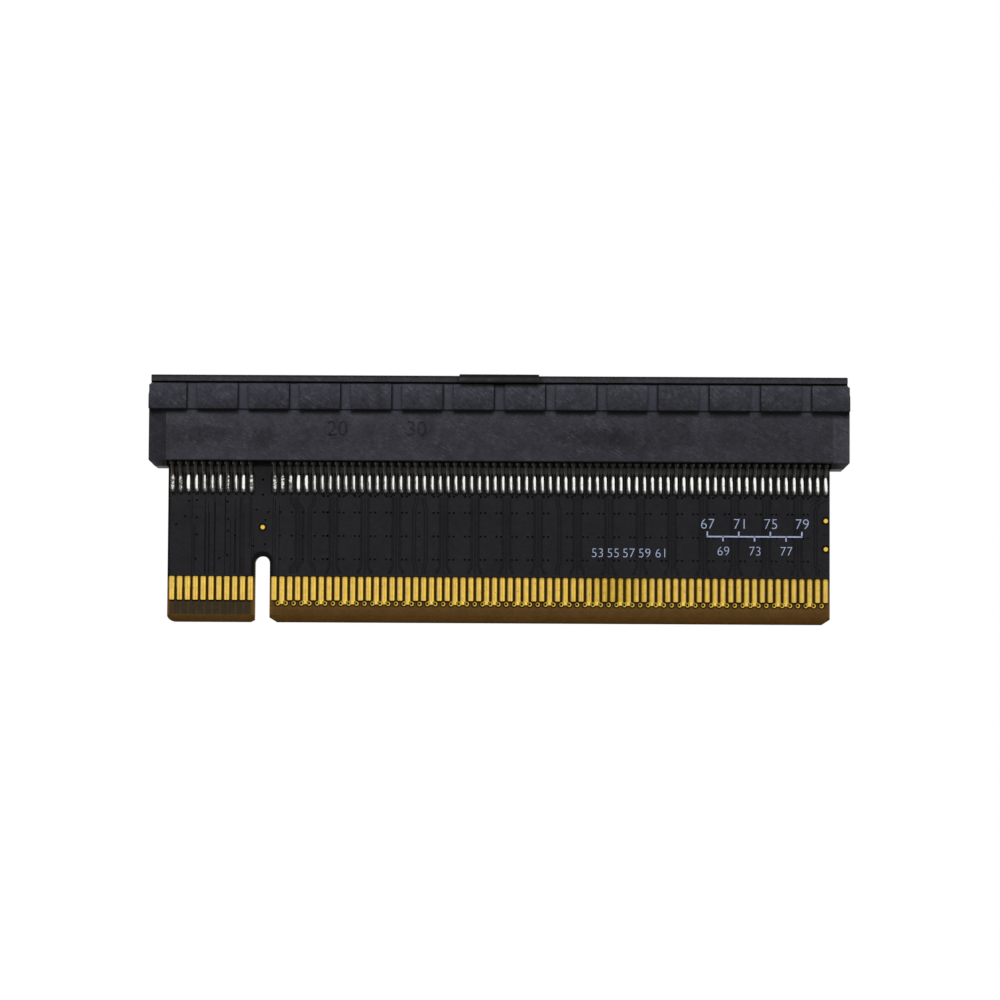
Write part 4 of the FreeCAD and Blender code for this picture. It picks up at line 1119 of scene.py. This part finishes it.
def joint_tree():
    """Geometry of uneven solder joints, one at each point, with the painted highlight band kept for the
    finish.
    """
    tree, given, result = geometry_tree("Solder Joints", [
        ("Width", FLOAT, 0.001), ("Length", FLOAT, 0.002), ("Rise", FLOAT, 0.0002),
        ("Bright Width", FLOAT, 0.6), ("Side", FLOAT, -1.0), ("Seed", "NodeSocketInt", 0),
        ("Material", MATERIAL, None)])
    sheet = put(tree, "GeometryNodeMeshGrid", {
        "Size X": given["Width"], "Size Y": given["Length"], "Vertices X": 13, "Vertices Y": 15})
    place = tree.nodes.new("GeometryNodeInputPosition").outputs[0]
    kept = put(tree, "GeometryNodeStoreNamedAttribute", {
        "Geometry": sheet.outputs[0], "Name": "shape", "Value": place},
        data_type="FLOAT_VECTOR", domain="POINT")
    spots = put(tree, "GeometryNodeInstanceOnPoints",
                {"Points": given["Geometry"], "Instance": kept.outputs[0]})
    loose = put(tree, "GeometryNodeRealizeInstances", {"Geometry": spots.outputs[0]})
    shape = put(tree, "GeometryNodeInputNamedAttribute", {"Name": "shape"},
                data_type="FLOAT_VECTOR").outputs[0]
    x, y = put(tree, "ShaderNodeSeparateXYZ", {0: shape}).outputs[:2]
    origin = put(tree, "ShaderNodeVectorMath", {0: place, 1: shape}, operation="SUBTRACT").outputs[0]
    joint = put(tree, "ShaderNodeSeparateXYZ", {0: origin}).outputs[0]
    across = calc(tree, "DIVIDE", x, times(tree, given["Width"], 0.5))
    along = calc(tree, "DIVIDE", y, times(tree, given["Length"], 0.5))

    def wander(pace, which):
        """Noise from -0.5 to 0.5, different for every joint, that changes up the joint."""
        spot = put(tree, "ShaderNodeCombineXYZ", {
            0: times(tree, joint, 1.73 / MM), 1: times(tree, along, pace),
            2: plus(tree, given["Seed"], which)}).outputs[0]
        return minus(tree, noise(tree, spot, 1.0, 1.0), 0.5)

    low_end = calc(tree, "POWER", between(tree, along, -1.0, -0.7), 0.5)
    high_end = calc(tree, "POWER", between(tree, along, 1.0, 0.35), 0.6)
    taper = times(tree, low_end, high_end)
    # the painted highlight band sits off the middle by an amount that changes along the row, leans,
    # wanders from side to side and changes in width; on the uneven joints by both ends of the short tab
    # it is nearly as wide as the joint
    uneven = highest(tree, between(tree, joint, -37.5 * MM, -39.5 * MM),
                     times(tree, between(tree, joint, -33.5 * MM, -32.5 * MM),
                           between(tree, joint, -23.5 * MM, -25.5 * MM)))
    lean = plus(tree, between(tree, joint, -27.0 * MM, 20.0 * MM, 0.62, 0.26),
                times(tree, along, -0.22))
    lean = times(tree, lean, between(tree, uneven, 0.0, 1.0, 1.0, 0.4))
    middle = plus(tree, lean, times(tree, wander(0.9, 0.0), 0.4))
    wide = plus(tree, given["Bright Width"], times(tree, uneven, 0.16))
    wavy = between(tree, uneven, 0.0, 1.0, 0.45, 0.8)
    half = times(tree, plus(tree, wide, times(tree, wander(2.6, 17.3), wavy)), taper)
    beyond = minus(tree, minus(tree, across, middle), half)
    before = minus(tree, minus(tree, middle, across), half)
    # the painted highlight ends sharply on one side and fades to a grey slope on the other
    steep = between(tree, beyond, 0.16, -0.12)
    near = between(tree, before, -0.14, 0.14, 1.0, 0.5)
    gentle = times(tree, near, between(tree, before, 0.14, 1.0, 1.0, 0.12))
    dull_ends = times(tree, between(tree, along, -0.72, -0.56, 0.5, 1.0),
                      between(tree, along, 0.92, 0.64, 0.3, 1.0))
    highlight = times(tree, steep, gentle, dull_ends)
    # a second, narrower painted highlight low on one flank of some joints
    flank = unsigned(tree, plus(tree, across, 0.72))
    second_highlight = times(tree, between(tree, flank, 0.18, 0.04),
                   between(tree, wander(2.8, 41.7), 0.1, 0.2))
    highlight = highest(tree, highlight, times(tree, second_highlight, 0.7))
    # across: full over the foot, then a hollow fillet down to the land
    fall = between(tree, unsigned(tree, across), 0.5, 1.0)
    fillet = calc(tree, "POWER", minus(tree, 1.0, fall), 1.6)
    bulge = plus(tree, 1.0, times(tree, wander(3.1, 63.1), 0.35))
    end_fall = times(tree, low_end, calc(tree, "POWER", between(tree, along, 1.0, 0.8), 0.5))
    lifted = times(tree, fillet, end_fall, bulge, given["Rise"], given["Side"])
    pinch = times(tree, calc(tree, "POWER", unsigned(tree, along), 8.0), 0.4)
    narrowed = times(tree, x, minus(tree, 1.0, pinch))
    flat = put(tree, "ShaderNodeCombineXYZ", {0: narrowed, 1: lifted, 2: y}).outputs[0]
    final = put(tree, "ShaderNodeVectorMath", {0: origin, 1: flat}, operation="ADD").outputs[0]
    marked = put(tree, "GeometryNodeStoreNamedAttribute", {
        "Geometry": loose.outputs[0], "Name": "highlight", "Value": highlight},
        data_type="FLOAT", domain="POINT")
    moved = put(tree, "GeometryNodeSetPosition", {"Geometry": marked.outputs[0], "Position": final})
    outward = put(tree, "GeometryNodeFlipFaces", {
        "Mesh": moved.outputs[0], "Selection": calc(tree, "GREATER_THAN", given["Side"], 0.0)})
    smooth = put(tree, "GeometryNodeSetShadeSmooth", {"Geometry": outward.outputs[0]})
    clean = put(tree, "GeometryNodeRemoveAttribute", {
        "Geometry": smooth.outputs[0], "Name": "shape"})
    tree.links.new(coated(tree, clean.outputs[0], given["Material"]), result)
    return tree


JOINT_DROP = 0.08               # uneven joints reach this far below the plain ones


class RISERCARD_OT_solder(bpy.types.Operator):
    """Make the uneven solder joints over the contacts' feet, on both faces"""

    bl_idname = "riser_card.make_solder"
    bl_label = "Solder Joints"

    def execute(self, context):
        sizes = settings().solder
        row = settings().row
        tree = joint_tree()
        for side, sign in FACES.items():
            name = f"solder_joints_{side}"
            low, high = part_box(name)
            face = low.y if sign > 0 else high.y
            middle = low.z + sizes.length / 2 - JOINT_DROP * MM
            places = [(contact_x(n), face, middle) for n in range(1, row.count + 1)]
            mesh = grow(f"joints_{side}", tree, points_mesh("Joint Places", places), {
                "Width": sizes.width, "Length": sizes.length, "Rise": sizes.rise,
                "Bright Width": sizes.bright, "Side": float(sign),
                "Seed": sizes.seed + (side == "back"), "Material": finish("Solder")})
            make_piece(f"joints_{side}", mesh, None, "solder", name)
        return {"FINISHED"}


def dot_tree():
    """Geometry of covered via holes: a low rim round a dark filled middle."""
    tree, given, result = geometry_tree("Covered Vias", [
        ("Radius", FLOAT, 0.0002), ("Rise", FLOAT, 0.00001), ("Side", FLOAT, -1.0),
        ("Rim Material", MATERIAL, None), ("Fill Material", MATERIAL, None)])
    inner = times(tree, given["Radius"], 0.88)
    quarter = put(tree, "ShaderNodeCombineXYZ", {0: times(tree, given["Side"], -math.pi / 2)})
    lift = put(tree, "ShaderNodeCombineXYZ", {2: given["Rise"]})
    rim = put(tree, "GeometryNodeMeshCone", {
        "Vertices": 12, "Side Segments": 1, "Radius Top": inner, "Radius Bottom": given["Radius"],
        "Depth": given["Rise"]}, fill_type="NONE")
    fill = put(tree, "GeometryNodeMeshCone", {
        "Vertices": 12, "Side Segments": 1, "Radius Top": times(tree, inner, 0.2),
        "Radius Bottom": inner, "Depth": times(tree, given["Rise"], -0.4)}, fill_type="NGON")
    sunk = put(tree, "GeometryNodeTransform", {
        "Geometry": fill.outputs[0], "Translation": lift.outputs[0]})
    both = tree.nodes.new("GeometryNodeJoinGeometry")
    for part, material in ((rim, "Rim Material"), (sunk, "Fill Material")):
        turned = put(tree, "GeometryNodeTransform", {
            "Geometry": part.outputs[0], "Rotation": quarter.outputs[0]})
        made = spread(tree, given, turned.outputs[0], given[material])
        tree.links.new(made, both.inputs[0])
    tree.links.new(both.outputs[0], result)
    return tree


def plug_tree():
    """Geometry of round fillings across the board."""
    tree, given, result = geometry_tree("Round Fillings", [
        ("Radius", FLOAT, 0.00015), ("Length", FLOAT, 0.0014), ("Material", MATERIAL, None)])
    bar = put(tree, "GeometryNodeMeshCylinder", {
        "Vertices": 12, "Radius": given["Radius"], "Depth": given["Length"]})
    turned = put(tree, "GeometryNodeTransform", {
        "Geometry": bar.outputs[0], "Rotation": (math.pi / 2, 0.0, 0.0)})
    tree.links.new(spread(tree, given, turned.outputs[0], given["Material"]), result)
    return tree


def line_tree():
    """Geometry of fine lines along the edges of a mesh."""
    tree, given, result = geometry_tree("Fine Lines", [
        ("Radius", FLOAT, 0.00005), ("Material", MATERIAL, None)])
    paths = put(tree, "GeometryNodeMeshToCurve", {"Mesh": given["Geometry"]})
    profile = put(tree, "GeometryNodeCurvePrimitiveCircle", {
        "Resolution": 16, "Radius": given["Radius"]})
    tubes = put(tree, "GeometryNodeCurveToMesh", {
        "Curve": paths.outputs[0], "Profile Curve": profile.outputs[0], "Fill Caps": True})
    tree.links.new(coated(tree, tubes.outputs[0], given["Material"]), result)
    return tree


def bar_tree():
    """Geometry of upright printed bars."""
    tree, given, result = geometry_tree("Printed Bars", [
        ("Width", FLOAT, 0.0002), ("Height", FLOAT, 0.0005), ("Thickness", FLOAT, 0.00002),
        ("Material", MATERIAL, None)])
    size = put(tree, "ShaderNodeCombineXYZ", {
        0: given["Width"], 1: given["Thickness"], 2: given["Height"]})
    bar = put(tree, "GeometryNodeMeshCube", {"Size": size.outputs[0]})
    tree.links.new(spread(tree, given, bar.outputs[0], given["Material"]), result)
    return tree


# covered vias, in millimetres: heights, places beside a lane pair's middle and before the first pair
DOT_ROWS = (8.05, 11.0, 14.0, 16.05)
DOT_OFFSETS = (-1.28, -0.71, 0.71, 1.28)
SIDEBAND_DOTS = (-27.8, -26.3, -24.9, -23.4, -21.8)
TRACE_CLEARANCE = 0.75          # from a contact with a trace of its own


def lane_dots(side):
    """Places of the covered vias beside the lane pairs, as (x, z)."""
    dots = []
    lone = LONE_TRACES if side == "front" else ()
    for pair in LANE_PAIRS[side][1:]:
        centre = contact_x(pair + 0.5)
        for offset in DOT_OFFSETS:
            x = centre + offset * MM
            if all(abs(x - contact_x(n)) > TRACE_CLEARANCE * MM for n in lone):
                dots += [(x, z * MM) for z in DOT_ROWS]
    return dots


# covered vias of the short tab and beside the key, as (x, z) in millimetres
FIRST_DOTS = (
    (-39.4, 15.4), (-38.4, 15.5), (-39.9, 13.4), (-38.4, 13.3), (-41.0, 12.4), (-38.4, 11.1),
    (-34.5, 15.3), (-34.4, 13.1), (-34.4, 11.6), (-33.5, 11.0), (-38.5, 8.0), (-35.5, 8.1),
    (-34.5, 8.5), (-30.0, 18.1), (-30.0, 16.2), (-30.8, 14.3), (-29.3, 14.0), (-29.7, 13.0),
    (-29.7, 9.9), (-31.2, 9.7), (-10.1, 14.0), (-10.1, 11.0), (-10.1, 8.0),
)


class RISERCARD_OT_dots(bpy.types.Operator):
    """Make the covered via holes in the solder mask of both faces"""

    bl_idname = "riser_card.make_dots"
    bl_label = "Covered Vias"

    def execute(self, context):
        sizes = settings().board
        tree = dot_tree()
        for side, sign in FACES.items():
            low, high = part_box(f"solder_mask_{side}")
            face = high.y if sign > 0 else low.y
            dots = lane_dots(side)
            dots += [(x * MM, z * MM) for x, z in FIRST_DOTS]
            dots += [(x * MM, z * MM) for x in SIDEBAND_DOTS for z in DOT_ROWS[:3]]
            places = [(x, face + sign * sizes.dot_rise / 2, z) for x, z in dots]
            mesh = grow(f"covered_vias_{side}", tree, points_mesh("Via Places", places), {
                "Radius": sizes.dot_radius, "Rise": sizes.dot_rise, "Side": float(sign),
                "Rim Material": finish("Solder Mask"), "Fill Material": finish("Filled Via")})
            make_piece(f"covered_vias_{side}", mesh, None, "solder_mask")
        return {"FINISHED"}


class RISERCARD_OT_fillings(bpy.types.Operator):
    """Make the resin in the plated holes and the gold in the test pads"""

    bl_idname = "riser_card.make_fillings"
    bl_label = "Hole Fillings"

    def execute(self, context):
        row = settings().row
        tree = plug_tree()
        low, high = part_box("edge_vias")
        level = (low.z + high.z) / 2
        places = [(contact_x(n + 0.5), 0.0, level) for n in range(row.before_key + 1, row.count)]
        mesh = grow("via_fillings", tree, points_mesh("Filling Places", places), {
            "Radius": HOLE_RADIUS * MM, "Length": high.y - low.y - 0.1 * MM,
            "Material": finish("Filled Via")})
        make_piece("via_fillings", mesh, None, "solder_mask")
        low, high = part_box("test_pads_front")
        middle = (low.y + high.y) / 2
        places = [(x * MM, middle, z * MM) for x, z in TEST_PADS]
        mesh = grow("pad_fillings", tree, points_mesh("Pad Places", places), {
            "Radius": PAD_HOLE_RADIUS * MM, "Length": high.y - low.y - 0.01 * MM,
            "Material": finish("Gold Plate")})
        make_piece("pad_fillings", mesh, None, "gold_plate")
        return {"FINISHED"}


LINE_PROUD = 0.012              # fine lines above the mask
# upright lines on and beside the short tab, as (x, upper end)
SHORT_TAB_LINES = (
    (-39.0, 16.0), (-37.3, 15.6), (-36.9, 15.4), (-36.1, 15.2), (-34.8, 15.9), (-34.1, 13.0),
    (-33.5, 15.6), (-32.9, 15.8), (-32.4, 14.0), (-31.4, 15.8), (-31.1, 11.6), (-28.7, 15.8),
    (-28.4, 15.6), (-27.9, 14.8),
)


def trace_turns(side):
    """Fine lines where traces turn, as pairs of places (x, z) in metres."""
    lines = []
    for pair in LANE_PAIRS[side][1:]:
        centre = contact_x(pair + 0.5)
        for start in (0.60, -1.36):
            lines.append([(centre + start * MM, 16.3 * MM), (centre + (start + 0.28) * MM, 16.02 * MM)])
        for way in (-1, 1):
            lines.append([(centre + way * 0.45 * MM, 6.95 * MM), (centre + way * 1.1 * MM, 6.25 * MM)])
    runs = [[(39.5, 15.5), (40.3, 16.2)], [(39.7, 15.1), (41.0, 16.2)], [(40.0, 14.7), (41.6, 15.9)],
            [(40.4, 7.9), (41.8, 6.7)], [(40.0, 7.6), (41.6, 6.25)], [(39.7, 7.1), (40.7, 6.3)]]
    runs += [[(x, 6.05), (x, top)] for x, top in SHORT_TAB_LINES]
    return lines + [[(x * MM, z * MM) for x, z in run] for run in runs]


class RISERCARD_OT_lines(bpy.types.Operator):
    """Make the fine lines in the solder mask where traces turn to their contacts"""

    bl_idname = "riser_card.make_lines"
    bl_label = "Trace Turns"

    def execute(self, context):
        radius = settings().board.line_radius
        tree = line_tree()
        for side, sign in FACES.items():
            low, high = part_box(f"solder_mask_{side}")
            face = high.y if sign > 0 else low.y
            inner = face - sign * (radius - LINE_PROUD * MM)
            points = []
            edges = []
            for start, finish_place in trace_turns(side):
                edges.append((len(points), len(points) + 1))
                points += [(x, inner, z) for x, z in (start, finish_place)]
            paths = bpy.data.meshes.new("Line Paths")
            paths.from_pydata(points, edges, [])
            mesh = grow(f"trace_turns_{side}", tree, paths, {
                "Radius": radius, "Material": finish("Trace Line Shade")})
            make_piece(f"trace_turns_{side}", mesh, None, "solder_mask")
        return {"FINISHED"}


# contacts numbered above and below the printed scale, and those of the row without a scale
SCALE_ABOVE = (67, 71, 75, 79)
SCALE_BELOW = (69, 73, 77)
LONE_NUMBERS = (53, 55, 57, 59, 61)
SCALE_LINE = 0.18               # width of the printed lines
SCALE_TICK = 0.64


class RISERCARD_OT_legend(bpy.types.Operator):
    """Make the printed contact scale with its numbers"""

    bl_idname = "riser_card.make_legend"
    bl_label = "Printed Scale"

    def execute(self, context):
        low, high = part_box("legend_front")
        thickness = high.y - low.y
        middle = low.y + thickness / 2
        line = SCALE_LINE * MM
        base = low.z + line / 2
        ink = finish("Legend Ink")
        tree = bar_tree()
        first, last = contact_x(SCALE_ABOVE[0]), contact_x(SCALE_ABOVE[-1])
        beam = grow("Base Line", tree, points_mesh("Base Place", [((first + last) / 2, middle, base)]), {
            "Width": last - first + line, "Height": line, "Thickness": thickness, "Material": ink})
        up = [(contact_x(n), middle, base + 0.32 * MM) for n in SCALE_ABOVE]
        down = [(contact_x(n), middle, base - 0.27 * MM) for n in SCALE_BELOW]
        ticks = grow("Ticks", tree, points_mesh("Tick Places", up + down), {
            "Width": line, "Height": SCALE_TICK * MM, "Thickness": thickness, "Material": ink})
        parts = [(beam, (0, 0, 0)), (ticks, (0, 0, 0))]
        rows = [(SCALE_ABOVE, 1.35, high.z / MM - 1.35), (SCALE_BELOW, 1.2, 8.75),
                (LONE_NUMBERS, 1.2, 8.45)]
        for numbers, tall, place in rows:
            for number in numbers:
                mesh = text_mesh(str(number), tall * MM, thickness, 0.03 * MM)
                width = max(v.co.x for v in mesh.vertices)
                parts.append((mesh, (contact_x(number) - width / 2, middle, place * MM)))
        make_piece("printed_scale", join_meshes("printed_scale", parts), ["Legend Ink"],
                   "legend_ink", "legend_front")
        return {"FINISHED"}


class RISERCARD_OT_stage(bpy.types.Operator):
    """Make the pale floor, the soft studio light and the camera"""

    bl_idname = "riser_card.make_stage"
    bl_label = "Stage"

    def execute(self, context):
        sizes = settings().stage
        self.make_floor(sizes)
        self.make_room(sizes)
        for side, across in (("Left", -1), ("Right", 1)):
            for name, ahead in (("Front", -1), ("Back", 1)):
                place = (across * sizes.light_side, ahead * sizes.light_front, sizes.light_height)
                self.make_light(f"{name} {side} Light", place, sizes.light_size, sizes.power)
        self.make_camera(sizes)
        view = context.scene.view_settings
        view.view_transform = "Standard"
        return {"FINISHED"}

    def seen_rays(self, tree):
        """1 for rays that show the background: camera, mirror and glass rays."""
        path = tree.nodes.new("ShaderNodeLightPath").outputs
        some = highest(tree, path["Is Camera Ray"], path["Is Glossy Ray"])
        return highest(tree, some, path["Is Transmission Ray"])

    def make_floor(self, sizes):
        half = sizes.floor_size / 2
        mesh = bpy.data.meshes.new("floor")
        corners = [(-half, -half), (half, -half), (half, half), (-half, half)]
        mesh.from_pydata([(x, y, -sizes.floor) for x, y in corners], [], [(0, 1, 2, 3)])
        floor = bpy.data.objects.new("floor", mesh)
        bpy.context.scene.collection.objects.link(floor)
        material = bpy.data.materials.new("Pale Floor")
        material.use_nodes = True
        tree = material.node_tree
        tree.nodes.clear()
        lit = put(tree, "ShaderNodeBsdfDiffuse", {"Color": (*sizes.floor_tone, 1.0)})
        place = tree.nodes.new("ShaderNodeTexCoord").outputs["Object"]
        away = put(tree, "ShaderNodeVectorMath", {0: place}, operation="LENGTH").outputs["Value"]
        shine = between(tree, away, 0.1, 0.5, 0.74, 1.0)
        glow = put(tree, "ShaderNodeEmission", {
            "Strength": times(tree, self.seen_rays(tree), shine)})
        both = put(tree, "ShaderNodeAddShader", {0: lit.outputs[0], 1: glow.outputs[0]})
        clear = tree.nodes.new("ShaderNodeBsdfTransparent")
        under = tree.nodes.new("ShaderNodeNewGeometry").outputs["Backfacing"]
        whole = put(tree, "ShaderNodeMixShader", {0: under, 1: both.outputs[0],
                                                  2: clear.outputs[0]})
        output = tree.nodes.new("ShaderNodeOutputMaterial")
        tree.links.new(whole.outputs[0], output.inputs[0])
        mesh.materials.append(material)

    def make_room(self, sizes):
        world = bpy.data.worlds.new("Studio")
        bpy.context.scene.world = world
        world.use_nodes = True
        tree = world.node_tree
        tree.nodes.clear()
        strength = between(tree, self.seen_rays(tree), 0.0, 1.0, sizes.room, 1.0)
        room = put(tree, "ShaderNodeBackground", {"Color": (1.0, 1.0, 1.0, 1.0),
                                                  "Strength": strength})
        output = tree.nodes.new("ShaderNodeOutputWorld")
        tree.links.new(room.outputs[0], output.inputs[0])

    def make_light(self, name, place, size, power):
        lamp = bpy.data.lights.new(name, "AREA")
        lamp.shape = "DISK"
        lamp.size = size
        lamp.energy = power
        holder = bpy.data.objects.new(name, lamp)
        bpy.context.scene.collection.objects.link(holder)
        holder.visible_camera = False
        holder.location = place
        aim = settings().stage.target
        holder.rotation_euler = (Vector(aim) - Vector(place)).to_track_quat("-Z", "Y").to_euler()

    def make_camera(self, sizes):
        lens = bpy.data.cameras.new("Camera")
        lens.lens = sizes.lens
        lens.sensor_width = 36.0
        lens.clip_start, lens.clip_end = 0.01, 20.0
        camera = bpy.data.objects.new("Camera", lens)
        bpy.context.scene.collection.objects.link(camera)
        level = math.cos(sizes.elevation)
        back = Vector((math.sin(sizes.turn) * level, -math.cos(sizes.turn) * level,
                       math.sin(sizes.elevation)))
        camera.location = Vector(sizes.target) + back * sizes.distance
        facing = (-back).to_track_quat("-Z", "Y").to_matrix()
        camera.rotation_euler = (facing @ Matrix.Rotation(sizes.roll, 3, "Z")).to_euler()
        bpy.context.scene.camera = camera


class RISERCARD_PT_pieces(bpy.types.Panel):
    """Riser card pieces"""

    bl_idname = "RISERCARD_PT_pieces"
    bl_label = "Riser Card"
    bl_space_type = "VIEW_3D"
    bl_region_type = "UI"
    bl_category = "Riser Card"

    def draw(self, context):
        for operator in OPERATORS:
            self.layout.operator(operator.bl_idname)


OPERATORS = (
    RISERCARD_OT_stage,
    RISERCARD_OT_board,
    RISERCARD_OT_contacts,
    RISERCARD_OT_housing,
    RISERCARD_OT_numerals,
    RISERCARD_OT_solder,
    RISERCARD_OT_dots,
    RISERCARD_OT_fillings,
    RISERCARD_OT_lines,
    RISERCARD_OT_legend,
)
GROUP_CLASSES = (
    RISERCARD_PG_row,
    RISERCARD_PG_housing,
    RISERCARD_PG_board,
    RISERCARD_PG_metal,
    RISERCARD_PG_solder,
    RISERCARD_PG_stage,
    RISERCARD_PG_settings,
)
CLASSES = GROUP_CLASSES + OPERATORS + (RISERCARD_PT_pieces,)


def register():
    """Registers the classes and the scene's settings."""
    for made_class in CLASSES:
        bpy.utils.register_class(made_class)
    bpy.types.Scene.riser_card = PointerProperty(type=RISERCARD_PG_settings)


def unregister():
    """Takes the settings and the classes away again."""
    del bpy.types.Scene.riser_card
    for made_class in reversed(CLASSES):
        bpy.utils.unregister_class(made_class)


def main():
    """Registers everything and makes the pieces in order."""
    register()
    for operator in OPERATORS:
        group, name = operator.bl_idname.split(".")
        getattr(getattr(bpy.ops, group), name)()
    bpy.context.view_layer.update()


if __name__ == "__main__":
    main()
